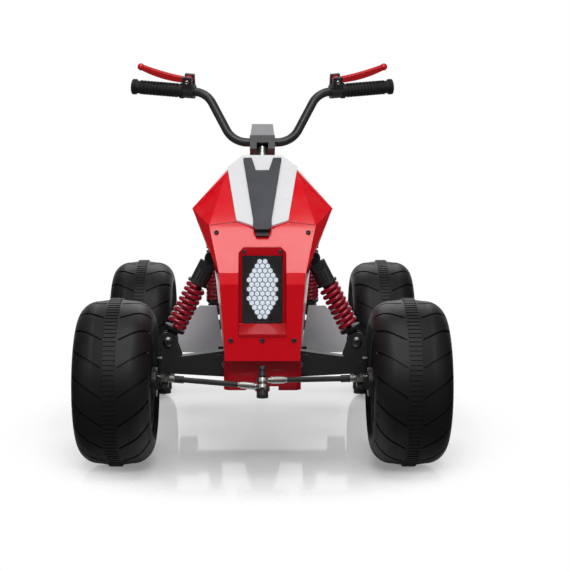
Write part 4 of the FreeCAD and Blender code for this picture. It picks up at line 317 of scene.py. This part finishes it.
finishDefaults = {
    "color": (0.5, 0.5, 0.5), "mottle": 0.08, "scale": 900.0, "roughness": 0.4, "uneven": 0.12,
    "wornAndHighlight": (0.6, 0.6, 0.6), "wearAndHighlight": 0.15, "wearAndHighlightWidth": 0.0015, "dust": 0.05,
    "bump": 0.15, "bumpDepth": 0.0002, "metallic": 0.0, "coat": 0.0, "coatRoughness": 0.05, "specular": 0.5,
}


def axisBand(tree, axis, low, high, soft=0.0006):
    # 1 where the distance from the middle along one axis is between low and high
    away = mathNode(tree, "ABSOLUTE", axesOf(tree, placeOf(tree))[axis])
    inside = rampNode(tree, away, low - soft, low + soft)
    outside = rampNode(tree, away, high - soft, high + soft)
    return mathNode(tree, "SUBTRACT", inside, outside)


def makeFinish(name, bands=(), **changes):
    values = {**finishDefaults, **changes}
    material = bpy.data.materials.new(name)
    material.use_nodes = True
    tree = material.node_tree
    grain = useGroup(tree, "grain", Color=(*values["color"], 1), Mottle=values["mottle"], Scale=values["scale"],
                     Roughness=values["roughness"], Uneven=values["uneven"])
    # the worn colour laid along the edges is wear and also a painted edge highlight
    wearAndHighlight = useGroup(tree, "wearAndHighlight", Color=grain["Color"], Worn=(*values["wornAndHighlight"], 1), Amount=values["wearAndHighlight"],
                    Width=values["wearAndHighlightWidth"])
    dust = useGroup(tree, "dust", Color=wearAndHighlight["Color"], Roughness=grain["Roughness"], Amount=values["dust"])
    color, metallic = dust["Color"], values["metallic"]
    masks = [axisBand(tree, *band) for band in bands]
    if masks:
        mask = masks[0]
        for other in masks[1:]:
            mask = mathNode(tree, "MAXIMUM", mask, other)
        color = mixNode(tree, mask, color, (*values["bandColor"], 1))
        change = values["bandMetallic"] - metallic
        if change:
            metallic = mathNode(tree, "MULTIPLY_ADD", mask, change, metallic)
    feedAll(tree, tree.nodes["Principled BSDF"], {
        "Base Color": color, "Metallic": metallic, "Roughness": dust["Roughness"],
        "Normal": bumpNode(tree, grain["Height"], values["bump"], values["bumpDepth"]),
        "Coat Weight": values["coat"], "Coat Roughness": values["coatRoughness"],
        "Specular IOR Level": values["specular"],
    })
    return material


# worn colours go along the edges as wear and also as painted edge highlights
finishValues = {
    "red_gloss": {"color": (0.8, 0.004, 0.013), "mottle": 0.05, "scale": 700.0, "roughness": 0.15,
                  "uneven": 0.02, "wornAndHighlight": (0.75, 0.06, 0.06), "wearAndHighlight": 0.12, "bump": 0.01, "coat": 0.06},
    "dark_red_steel": {"color": (0.44, 0.005, 0.012), "roughness": 0.38, "wornAndHighlight": (0.45, 0.06, 0.06),
                       "bump": 0.06, "coat": 0.15, "specular": 0.3},
    "white_gloss": {"color": (0.83, 0.83, 0.84), "mottle": 0.03, "roughness": 0.26, "uneven": 0.05,
                    "wornAndHighlight": (0.9, 0.9, 0.9), "wearAndHighlight": 0.1, "bump": 0.03, "coat": 0.05, "specular": 0.3},
    "dark_grey_plastic": {"color": (0.056, 0.058, 0.068), "roughness": 0.45, "specular": 0.4,
                          "wornAndHighlight": (0.13, 0.13, 0.14)},
    "black_plastic": {"color": (0.012, 0.012, 0.013), "roughness": 0.45, "wornAndHighlight": (0.07, 0.07, 0.07),
                      "bump": 0.2},
    "black_steel": {"color": (0.028, 0.028, 0.029), "roughness": 0.36, "wornAndHighlight": (0.14, 0.14, 0.14), "wearAndHighlight": 0.2,
                    "bump": 0.2, "scale": 1400.0},
    "black_shock_eye": {"color": (0.011, 0.011, 0.012), "roughness": 0.34, "wornAndHighlight": (0.12, 0.12, 0.12)},
    "zinc_steel": {"color": (0.62, 0.61, 0.58), "roughness": 0.32, "metallic": 1.0, "wornAndHighlight": (0.8, 0.8, 0.8),
                   "uneven": 0.3, "scale": 500.0, "mottle": 0.2},
    "crimson_spring": {"color": (0.34, 0.004, 0.02), "roughness": 0.28, "wornAndHighlight": (0.55, 0.1, 0.12), "coat": 0.4},
    "red_lever": {"color": (0.62, 0.006, 0.01), "roughness": 0.32, "wornAndHighlight": (0.8, 0.12, 0.12), "coat": 0.3},
    "grip_rubber": {"color": (0.011, 0.011, 0.011), "roughness": 0.6, "wornAndHighlight": (0.05, 0.05, 0.05), "bump": 0.3},
    "seat_cover": {"color": (0.016, 0.016, 0.017), "roughness": 0.5, "wornAndHighlight": (0.06, 0.06, 0.06), "bump": 0.4},
    "silver_rest": {"color": (0.82, 0.82, 0.84), "roughness": 0.36, "wornAndHighlight": (0.75, 0.75, 0.75), "uneven": 0.15},
    "tyre_black": {"color": (0.0095, 0.0095, 0.01), "roughness": 0.5, "specular": 0.35,
                   "wornAndHighlight": (0.04, 0.04, 0.04), "wearAndHighlight": 0.3, "bump": 0.25, "scale": 1100.0, "mottle": 0.2,
                   "dust": 0.02},
    "lamp_white": {"color": (0.75, 0.82, 0.88), "roughness": 0.3, "wornAndHighlight": (0.9, 0.9, 0.9), "dust": 0.0},
    "lamp_glass": {"color": (0.4, 0.38, 0.38), "roughness": 0.05, "dust": 0.0, "wearAndHighlight": 0.0, "bump": 0.02,
                   "mottle": 0.02, "uneven": 0.02},
    "battery_case": {"color": (0.05, 0.055, 0.07), "roughness": 0.45},
    "motor_case": {"color": (0.018, 0.018, 0.018), "roughness": 0.5, "wornAndHighlight": (0.08, 0.08, 0.08), "bump": 0.25},
}
finishes = {slot: makeFinish(slot, **values) for slot, values in finishValues.items()}

glassValues = {"transmission": 1.0, "ior": 1.46}
glass = finishes["lamp_glass"].node_tree.nodes["Principled BSDF"]
glass.inputs["Transmission Weight"].default_value = glassValues["transmission"]   # smoked lens of the lamp
glass.inputs["IOR"].default_value = glassValues["ior"]

# Finishes of single nodes and pieces: plated ends on the tie rods, a black tongue under the spine


def variant(name, slot, **changes):
    return makeFinish(name, **{**finishValues[slot], **changes})


blackPaint = finishValues["black_plastic"]["color"]
tieRodFinish = variant("tieRodFinish", "black_steel", bands=(("X", -0.01, 0.042), ("X", 0.152, 0.4)),
                       bandColor=finishValues["zinc_steel"]["color"], bandMetallic=1.0)
nodeFinishes = {
    "tie_rod_left": tieRodFinish,
    "tie_rod_right": tieRodFinish,
    "hood_spine": variant("spineFinish", "dark_grey_plastic", bands=(("Z", 0.0, 0.428),),
                          bandColor=blackPaint, bandMetallic=0.0),
    "suspension_bolts": variant("suspensionBoltFinish", "zinc_steel", bands=(("Z", 0.3, 0.5),),
                                bandColor=blackPaint, bandMetallic=0.0),
    "handlebar_clamp": finishes["black_steel"],
    "handlebar_cap": variant("capFinish", "dark_grey_plastic", color=(0.31, 0.31, 0.32)),
    # the surround's red is darker than the fairing's: painted shade of the lamp recess
    "lamp_surround": variant("shadedSurroundFinish", "red_gloss", color=(0.5, 0.003, 0.009)),
}
pieceFinishes = {
    "footBolt": variant("footBoltFinish", "zinc_steel", color=(0.2, 0.2, 0.21)),
    # near-black red for the brow crease lines: painted shade
    "creaseShade": variant("creaseShadeFinish", "red_gloss", color=(0.06, 0.001, 0.002)),
}

for node, part in nodes.items():
    part.data.materials.clear()
    part.data.materials.append(nodeFinishes.get(node, finishes[slotOf[node]]))
print("finishes made:", len(finishes) + len(nodeFinishes) + len(pieceFinishes))

# Moulded and pressed edges: each listed CAD mesh is welded, cleared of split normals and rounded by modifiers

edgeValues = {
    "weld": 0.00001, "flatAngle": 1, "edgeAngle": 20, "segments": 2, "normalWeight": 50,   # angles in degrees
    "widths": {
        "front_fairing": 0.0016, "hood_panel": 0.001, "hood_spine": 0.0012, "lamp_surround": 0.0009,
        "skid_box": 0.0014, "footrest_left": 0.0012, "footrest_right": 0.0012, "handlebar_cap": 0.003,
        "handlebar_clamp": 0.0015, "front_tower": 0.0015, "battery_box": 0.003, "rear_body": 0.004,
        "front_arm_left": 0.002, "front_arm_right": 0.002, "lever_left": 0.0012, "lever_right": 0.0012,
        "main_frame": 0.002, "rear_swing_arm": 0.002, "lever_perches": 0.0015, "pitman_arm": 0.001,
        "knuckle_left": 0.001, "knuckle_right": 0.001, "rear_tower": 0.0015, "battery": 0.002,
        "gear_motors": 0.002, "accelerator_pedal": 0.0015, "direction_switch": 0.0008, "lamp_housing": 0.0006,
    },
}


def plainGroup(weld):
    group = bpy.data.node_groups.new("plainNormals", "GeometryNodeTree")
    for end in ("INPUT", "OUTPUT"):
        group.interface.new_socket(name="Geometry", in_out=end, socket_type="NodeSocketGeometry")
    chain = [group.nodes.new("NodeGroupInput"), group.nodes.new("GeometryNodeMergeByDistance")]
    chain[1].inputs["Distance"].default_value = weld
    for attribute in ("custom_normal", "sharp_edge"):
        clear = group.nodes.new("GeometryNodeRemoveAttribute")
        clear.inputs["Name"].default_value = attribute
        chain.append(clear)
    chain.append(group.nodes.new("GeometryNodeSetShadeSmooth"))
    chain.append(group.nodes.new("NodeGroupOutput"))
    for before, after in zip(chain, chain[1:]):
        group.links.new(before.outputs["Geometry"], after.inputs["Geometry"])
    return group


def roundEdges(values):
    plain = plainGroup(values["weld"])
    for node, width in values["widths"].items():
        part = nodes[node]
        part.modifiers.new("plainNormals", "NODES").node_group = plain
        flat = part.modifiers.new("joinFlats", "DECIMATE")
        flat.decimate_type = "DISSOLVE"
        flat.angle_limit = math.radians(values["flatAngle"])
        bevel = part.modifiers.new("roundEdges", "BEVEL")
        bevel.width = width
        bevel.segments = values["segments"]
        bevel.limit_method = "ANGLE"
        bevel.angle_limit = math.radians(values["edgeAngle"])
        normals = part.modifiers.new("faceNormals", "WEIGHTED_NORMAL")
        normals.weight = values["normalWeight"]
        normals.keep_sharp = False
    print("edges rounded:", len(values["widths"]))


roundEdges(edgeValues)

# Helpers for the added pieces

headValues = {   # each ring's share of a screw's or bolt's radius and height
    "dome": ((1.0, -0.3), (1.0, 0.45), (0.94, 0.72), (0.76, 0.95), (0.62, 1.0)),
    "socket": ((0.44, 0.97), (0.42, 0.3)),
    "washer": ((1.45, -0.1), (1.45, 0.12), (1.38, 0.2)),
    "flats": ((1.0, 0.15), (1.0, 0.86)),
    "crown": ((0.97, 1.0), (0.55, 0.96)),
}
tubeEndValues = {"reach": 0.6, "radius": 0.55}   # shares of the tube's radius
rayStart = -2.0   # y of a place well in front of the machine


def pieceFrom(name, shape, body, slot, finish=None):
    bmesh.ops.recalc_face_normals(shape, faces=shape.faces)
    mesh = bpy.data.meshes.new(name)
    shape.to_mesh(mesh)
    shape.free()
    mesh.shade_smooth()
    mesh.materials.append(finish or finishes[slot])
    piece = bpy.data.objects.new(name, mesh)
    scene.collection.objects.link(piece)
    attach(piece, body)
    return piece


def skin(shape, rings, endless=False):
    # skin over rings of equal count, closed by its two end faces or by joining the last ring to the first
    loops = [[shape.verts.new(point) for point in ring] for ring in rings]
    for before, after in zip(loops, loops[1:] + (loops[:1] if endless else [])):
        for i in range(len(before)):
            j = (i + 1) % len(before)
            shape.faces.new((before[i], before[j], after[j], after[i]))
    if not endless:
        shape.faces.new(loops[0])
        shape.faces.new(loops[-1])


def standing(point, way):
    return Matrix.Translation(point) @ Vector(way).to_track_quat("Z", "Y").to_matrix().to_4x4()


def circle(count):
    return [2 * math.pi * i / count for i in range(count)]


def roundRing(place, radius, height, count=24):
    return [place @ Vector((radius * math.cos(a), radius * math.sin(a), height)) for a in circle(count)]


def hexRing(place, flat, height, count=24):
    ring = []
    for angle in circle(count):
        reach = flat / math.cos((angle % (math.pi / 3)) - math.pi / 6)
        ring.append(place @ Vector((reach * math.cos(angle), reach * math.sin(angle), height)))
    return ring


def headRings(ringOf, part, place, radius, height):
    return [ringOf(place, radius * wide, height * tall) for wide, tall in headValues[part]]


def socketScrew(shape, place, radius, height):
    # domed head with a six-sided socket
    dome = headRings(roundRing, "dome", place, radius, height)
    skin(shape, dome + headRings(hexRing, "socket", place, radius, height))


def hexBolt(shape, place, flat, height):
    # six-sided head on its washer
    skin(shape, headRings(roundRing, "washer", place, flat, height))
    flats = headRings(hexRing, "flats", place, flat, height)
    skin(shape, flats + headRings(roundRing, "crown", place, flat, height))


def tubeRings(points, radius, count=10):
    # a tube through the points, drawn in at its two ends
    rings = []
    last = len(points) - 1
    reach, tipRadius = (radius * tubeEndValues[label] for label in ("reach", "radius"))
    for i, point in enumerate(points):
        place = standing(point, (points[min(i + 1, last)] - points[max(i - 1, 0)]).normalized())
        if i == 0:
            rings.append(roundRing(place, tipRadius, -reach, count))
        rings.append(roundRing(place, radius, 0, count))
        if i == last:
            rings.append(roundRing(place, tipRadius, reach, count))
    return rings


def onSurface(node, x, z):
    # point and normal where a ray from the front meets the node
    return nodes[node].ray_cast(Vector((x, rayStart, z)), Vector((0, 1, 0)))[1:3]


# Coil springs, wound round their shocks

springValues = {
    "wire": 0.0041, "mean": 0.0148, "turns": 8.0, "closed": 0.6, "closedPitch": 0.0085,   # ends wound close
    "stepsPerTurn": 40, "around": 14, "seat": 0.0003, "tip": 0.7,   # tip is a share of the wire's radius
    "front": {"top": (0.091, -0.320, 0.373), "foot": (0.167, -0.320, 0.225), "start": 0.052, "end": 0.1394,
              "travel": 0.014},
    "rear": {"top": (0.106, 0.240, 0.346), "foot": (0.106, 0.302, 0.194), "start": 0.052, "end": 0.1372,
             "travel": 0.025},
}
springRows = (   # piece, its values, its sides, body, replaced node, its shock's joint
    ("frontSpring_left", "front", (1,), "front_shock_upper_left", "front_shock_spring_left", "shock_slide_left"),
    ("frontSpring_right", "front", (-1,), "front_shock_upper_right", "front_shock_spring_right",
     "shock_slide_right"),
    ("rearSprings", "rear", (1, -1), "rear_shock_upper", "rear_shock_springs", "rear_shock_slide"),
)


def windSpring(shape, top, way, start, end, values):
    wire, mean, turns = values["wire"], values["mean"], values["turns"]
    low, high = start + wire + values["seat"], end - wire - values["seat"]
    closed, step, tip = values["closed"], values["closedPitch"], values["tip"]
    pitch = (high - low - 2 * closed * step) / (turns - 2 * closed)

    def along(turn):
        first = min(turn, closed) * step
        middle = max(0.0, min(turn, turns - closed) - closed) * pitch
        return low + first + middle + max(0.0, turn - (turns - closed)) * step

    base = standing(top, way)
    count = int(turns * values["stepsPerTurn"])
    points, outs = [], []
    for i in range(count + 1):
        turn = turns * i / count
        across, up = math.cos(2 * math.pi * turn), math.sin(2 * math.pi * turn)
        points.append(base @ Vector((mean * across, mean * up, along(turn))))
        outs.append(base.to_3x3() @ Vector((across, up, 0)))
    tips = {0: ((tip, -tip), (1, 0)), count: ((1, 0), (tip, tip))}   # size and shift of the end rings
    rings = []
    for i, (point, out) in enumerate(zip(points, outs)):
        run = (points[min(i + 1, count)] - points[max(i - 1, 0)]).normalized()
        side = run.cross(out).normalized()
        for size, shift in tips.get(i, ((1, 0),)):
            middle = point + run * (shift * wire)
            rings.append([middle + (out * math.cos(a) + side * math.sin(a)) * (wire * size)
                          for a in circle(values["around"])])
    skin(shape, rings)


def hangSprings(values, rows):
    for name, shock, signs, body, node, joint in rows:
        fit = values[shock]
        shape = bmesh.new()
        for sign in signs:
            top, foot = (Vector((fit[end][0] * sign, *fit[end][1:])) for end in ("top", "foot"))
            way = (foot - top).normalized()
            windSpring(shape, top, way, fit["start"], fit["end"], values)
        spring = pieceFrom(name, shape, body, "crimson_spring")
        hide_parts(node)
        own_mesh(spring)
    print("springs wound:", values["turns"], "turns each")


hangSprings(springValues, springRows)

# Lamp: a board of small six-sided light cells behind the smoked lens

lampCellValues = {
    "half": 0.0318, "low": 0.2704, "high": 0.3816, "boardBack": -0.3851, "boardFront": -0.3881, "corner": 0.004,
    "cornerSteps": 4, "pitch": 0.0092, "rowStep": 0.00797,
    "flat": 0.0038, "height": 0.0032, "sink": 0.0002, "shoulder": 0.7, "crown": 0.86, "around": 12,   # of a cell
    "counts": (2, 3, 4, 5, 6, 5, 6, 5, 6, 5, 4, 3, 2),      # cells in each row
    "glow": (0.78, 0.9, 1.0), "strength": 2.1,
    "patchScale": 260.0, "patchDetail": 1.0, "patch": (0.2, 0.8), "dimmest": 0.75,
}


def makeCellFinish(values):
    material = makeFinish("litCell", **finishValues["lamp_white"])
    tree = material.node_tree
    patch = noiseNode(tree, values["patchScale"], values["patchDetail"])
    level = rampNode(tree, patch, *values["patch"], values["dimmest"], 1.0)
    feedAll(tree, tree.nodes["Principled BSDF"], {
        "Emission Color": mixNode(tree, level, (0, 0, 0, 1), (*values["glow"], 1)),
        "Emission Strength": values["strength"],
    })
    return material


def boardOutline(values, middle):
    corner, steps = values["corner"], values["cornerSteps"]
    wide, tall = values["half"] - corner, (values["high"] - values["low"]) / 2 - corner
    outline = []
    for sx, sz, turn in ((1, 1, 0), (-1, 1, 90), (-1, -1, 180), (1, -1, 270)):
        for step in range(steps + 1):
            angle = math.radians(turn + 90 * step / steps)
            outline.append((sx * wide + corner * math.cos(angle), middle + sz * tall + corner * math.sin(angle)))
    return outline


def fillLamp(values):
    shape = bmesh.new()
    middle = (values["low"] + values["high"]) / 2
    outline = boardOutline(values, middle)
    skin(shape, [[Vector((x, y, z)) for x, z in outline] for y in (values["boardBack"], values["boardFront"])])
    plain = len(shape.faces)
    flat, height, around = values["flat"], values["height"], values["around"]
    for row, count in enumerate(values["counts"]):
        z = middle + (row - (len(values["counts"]) - 1) / 2) * values["rowStep"]
        for i in range(count):
            x = (i - (count - 1) / 2) * values["pitch"]
            place = standing(Vector((x, values["boardFront"], z)), (0, -1, 0))
            place = place @ Matrix.Rotation(math.pi / 6, 4, "Z")   # a corner up
            skin(shape, [hexRing(place, flat, -values["sink"], around),
                         hexRing(place, flat, height * values["shoulder"], around),
                         hexRing(place, flat * values["crown"], height, around)])
    cells = pieceFrom("lampCluster", shape, bodyOf["lamp_cells"], "lamp_white", finishes["black_plastic"])
    cells.data.materials.append(makeCellFinish(values))
    for face in cells.data.polygons:
        face.material_index = 0 if face.index < plain else 1
    cells.data.shade_flat()
    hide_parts("lamp_cells")
    print("lamp cells set:", len(cells.data.polygons) - plain, "faces")


fillLamp(lampCellValues)

# Screws and bolt heads

screwValues = {
    "fairing": {"places": [(0.079, 0.422), (-0.079, 0.422), (0.0, 0.242), (0.054, 0.242), (-0.054, 0.242)],
                "radius": 0.0042, "height": 0.0026},
    "brow": {"places": [(0.031, 0.391), (-0.031, 0.391)], "radius": 0.0036, "height": 0.0022},
    "foot": {"place": (0.167, 0.225), "flat": 0.0062, "height": 0.0058},
    "lever": {"radius": 0.0044, "height": 0.003, "half": 0.011},
}


def setScrews(values):
    shape = bmesh.new()
    for node, group in (("front_fairing", "fairing"), ("lamp_surround", "brow")):
        for x, z in values[group]["places"]:
            point, normal = onSurface(node, x, z)
            socketScrew(shape, standing(point, normal), values[group]["radius"], values[group]["height"])
    pieceFrom("bodyScrews", shape, "chassis", "black_steel")
    for side, sign in (("left", 1), ("right", -1)):
        foot = values["foot"]
        shape = bmesh.new()
        point, normal = onSurface("front_arm_" + side, foot["place"][0] * sign, foot["place"][1])
        hexBolt(shape, standing(point, normal), foot["flat"], foot["height"])
        pieceFrom("shockFootBolt_" + side, shape, "arm_" + side, "zinc_steel", pieceFinishes["footBolt"])
    lever = values["lever"]
    shape = bmesh.new()
    for side in ("left", "right"):
        joint = jointOf["lever_" + side]
        pivot, axis = Vector(joint["pos_m"]), Vector(joint["axis"]).normalized()
        for way in (axis, -axis):
            socketScrew(shape, standing(pivot + way * lever["half"], way), lever["radius"], lever["height"])
    pieceFrom("leverPivotScrews", shape, "steering", "zinc_steel")
    print("screws set")


setScrews(screwValues)

# Brow creases: thin near-black lines from the hood panel's corners to the wings, painted shade where each wing
# overhangs the front face

creaseShadeValues = {"start": (0.0462, 0.4388), "end": (0.0908, 0.4342), "radius": 0.0006, "steps": 6}


def drawCreaseShade(values):
    shape = bmesh.new()
    start, end = Vector(values["start"]), Vector(values["end"])
    places = [start.lerp(end, i / values["steps"]) for i in range(values["steps"] + 1)]
    for sign in (1, -1):
        points = [onSurface("front_fairing", place[0] * sign, place[1])[0] for place in places]
        skin(shape, tubeRings(points, values["radius"]))
    pieceFrom("browCreaseShade", shape, "chassis", "red_gloss", pieceFinishes["creaseShade"])
    print("brow seams drawn")


drawCreaseShade(creaseShadeValues)

# Seat cushion: the CAD solid is remeshed, blown up as cloth over its foot, then quilted and piped

seatValues = {
    "voxel": 0.005, "ease": 0.5, "easeTurns": 6, "shrink": 0.0018, "footNormal": -0.6,   # the foot faces down
    "cloth": {"quality": 6, "mass": 0.3, "tension_stiffness": 20, "compression_stiffness": 20,
              "shear_stiffness": 8, "bending_stiffness": 4, "use_pressure": True, "uniform_pressure_force": 4.0},
    "frames": 20, "cap": 0.007, "forward": 0.003,   # how far the pad may swell, and how far towards the front
    "channels": (0.307, 0.507, 0.707), "channelHalf": 0.009, "channelDepth": 0.0055, "channelCurve": 1.5,
    "topNormal": 0.1, "topFade": 0.5, "fill": 0.8, "above": 0.1,   # rays start this far above the seat
    "grainScale": 620.0, "crease": 0.22, "creaseBump": 0.35, "creaseDepth": 0.0004,
}
stitchValues = {
    "off": 0.0085, "step": 0.0068, "half": 0.0021, "radius": 0.00055, "around": 6, "lift": 0.6,
    "edge": 0.014, "drop": 0.0085,   # room left at the seat's edge, found this far below the top
    "finish": {"color": (0.05, 0.05, 0.055), "roughness": 0.6, "scale": 2400.0, "bump": 0.4},
}
pipingValues = {
    "radius": 0.0023, "around": 10, "drop": 0.0085, "stations": 46, "inset": 0.012,
    "across": 8, "corner": 0.004, "easeTurns": 4,
}


def makeSeatFinish(values):
    material = makeFinish("seatLeather", **finishValues["seat_cover"])
    tree = material.node_tree
    cells = tree.nodes.new("ShaderNodeTexVoronoi")
    cells.feature = "DISTANCE_TO_EDGE"
    feedAll(tree, cells, {"Vector": placeOf(tree), "Scale": values["grainScale"]})
    creases = rampNode(tree, cells.outputs["Distance"], 0.0, values["crease"])
    feedAll(tree, tree.nodes["Bump"], {
        "Height": creases, "Strength": values["creaseBump"], "Distance": values["creaseDepth"],
    })
    return material


def solidMesh(piece):
    shown = piece.evaluated_get(bpy.context.evaluated_depsgraph_get())
    return bpy.data.meshes.new_from_object(shown)


def blowUp(piece, values):
    foot = piece.vertex_groups.new(name="seatFoot")
    foot.add([v.index for v in piece.data.vertices if v.normal.z < values["footNormal"]], 1.0, "REPLACE")
    start = [v.co.copy() for v in piece.data.vertices]
    cloth = piece.modifiers.new("padFill", "CLOTH")
    for label, value in values["cloth"].items():
        setattr(cloth.settings, label, value)
    cloth.settings.vertex_group_mass = "seatFoot"
    cloth.settings.effector_weights.gravity = 0
    cloth.point_cache.frame_start = 1
    cloth.point_cache.frame_end = values["frames"]
    for step in range(1, values["frames"] + 1):
        scene.frame_set(step)
    blown = solidMesh(piece)
    piece.modifiers.clear()
    piece.vertex_groups.clear()
    for vertex, first, moved in zip(piece.data.vertices, start, blown.vertices):
        shift = moved.co - first
        if shift.length > values["cap"]:
            shift *= values["cap"] / shift.length
        shift.y = max(shift.y, -values["forward"])
        vertex.co = first + shift
    scene.frame_set(1)


def quilt(mesh, low, high, values):
    middles = [low.y + share * (high.y - low.y) for share in values["channels"]]
    for vertex in mesh.vertices:
        facing = vertex.normal.z - values["topNormal"]
        if facing < 0:
            continue
        for middle in middles:
            off = abs(vertex.co.y - middle) / values["channelHalf"]
            if off < 1:
                press = values["channelDepth"] * (1 - off) ** values["channelCurve"]
                vertex.co.z -= press * min(1.0, facing / values["topFade"])
    return middles


def surfaceOf(mesh, roof):
    tree = BVHTree.FromPolygons([v.co for v in mesh.vertices], [p.vertices for p in mesh.polygons])

    def hit(start, way):
        return tree.ray_cast(Vector(start), Vector(way))[0]

    def topAt(x, y):
        return hit((x, y, roof), (0, 0, -1))

    return hit, topAt


def stitchSeat(values, hit, topAt, middles):
    shape = bmesh.new()
    for middle in middles:
        for row in (middle - values["off"], middle + values["off"]):
            edge = hit((1, row, topAt(0, row).z - values["drop"]), (-1, 0, 0)).x
            count = int((edge - values["edge"]) / values["step"])
            for i in range(-count, count + 1):
                x = i * values["step"]
                points = [topAt(x + way * values["half"], row) for way in (-1, 0, 1)]
                points[1] = points[1] + Vector((0, 0, values["radius"] * values["lift"]))
                skin(shape, tubeRings(points, values["radius"], values["around"]))
    pieceFrom("seatStitching", shape, "chassis", "seat_cover", makeFinish("seatThread", **values["finish"]))


def pipingRoute(values, hit, topAt, low, high):
    inset, count, across = values["inset"], values["stations"], values["across"]
    stations = [low.y + inset + (high.y - low.y - 2 * inset) * i / count for i in range(count + 1)]
    route = []
    for sign, order in ((1, stations), (-1, stations[::-1])):   # back along one side, forward along the other
        for y in order:
            level = topAt(0, y).z - values["drop"]
            route.append(hit((sign, y, level), (-sign, 0, 0)))
        wide = abs(route[-1].x) - values["corner"]
        for i in range(1, across):   # then across that end
            x = sign * wide * (1 - 2 * i / across)
            route.append(hit((x, y + sign, level), (0, -sign, 0)))
    for turn in range(values["easeTurns"]):
        route = [(route[i - 1] + route[i] * 2 + route[(i + 1) % len(route)]) / 4 for i in range(len(route))]
    return route


def pipeSeat(values, route, finish):
    rings = []
    for i, point in enumerate(route):
        run = (route[(i + 1) % len(route)] - route[i - 1]).normalized()
        side = run.cross(Vector((0, 0, 1))).normalized()
        up = side.cross(run)
        rings.append([point + (side * math.cos(a) + up * math.sin(a)) * values["radius"]
                      for a in circle(values["around"])])
    shape = bmesh.new()
    skin(shape, rings, endless=True)
    pieceFrom("seatPiping", shape, "chassis", "seat_cover", finish)


def upholster(values):
    finish = makeSeatFinish(values)
    low, high = (Vector(corner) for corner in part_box("seat"))
    cushion = bpy.data.objects.new("seatCushion", nodes["seat"].data.copy())
    scene.collection.objects.link(cushion)
    remesh = cushion.modifiers.new("evenMesh", "REMESH")
    remesh.mode = "VOXEL"
    remesh.voxel_size = values["voxel"]
    smooth = cushion.modifiers.new("easeSteps", "SMOOTH")
    smooth.factor = values["ease"]
    smooth.iterations = values["easeTurns"]
    mesh = solidMesh(cushion)
    cushion.modifiers.clear()
    cushion.data = mesh
    for vertex, normal in zip(mesh.vertices, [v.normal.copy() for v in mesh.vertices]):
        vertex.co -= normal * (values["shrink"] if normal.z > values["footNormal"] else 0)
    blowUp(cushion, values)
    fine = cushion.modifiers.new("finerSkin", "SUBSURF")
    fine.levels = fine.render_levels = 1
    cushion.data = solidMesh(cushion)
    cushion.modifiers.clear()
    middles = quilt(cushion.data, low, high, values)
    cushion.data.materials.clear()
    cushion.data.materials.append(finish)
    cushion.data.shade_smooth()
    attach(cushion, "chassis")
    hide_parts("seat")
    hit, topAt = surfaceOf(cushion.data, high.z + values["above"])
    stitchSeat(stitchValues, hit, topAt, middles)
    pipeSeat(pipingValues, pipingRoute(pipingValues, hit, topAt, low, high), finish)
    print("seat upholstered:", len(cushion.data.polygons), "faces")


upholster(seatValues)
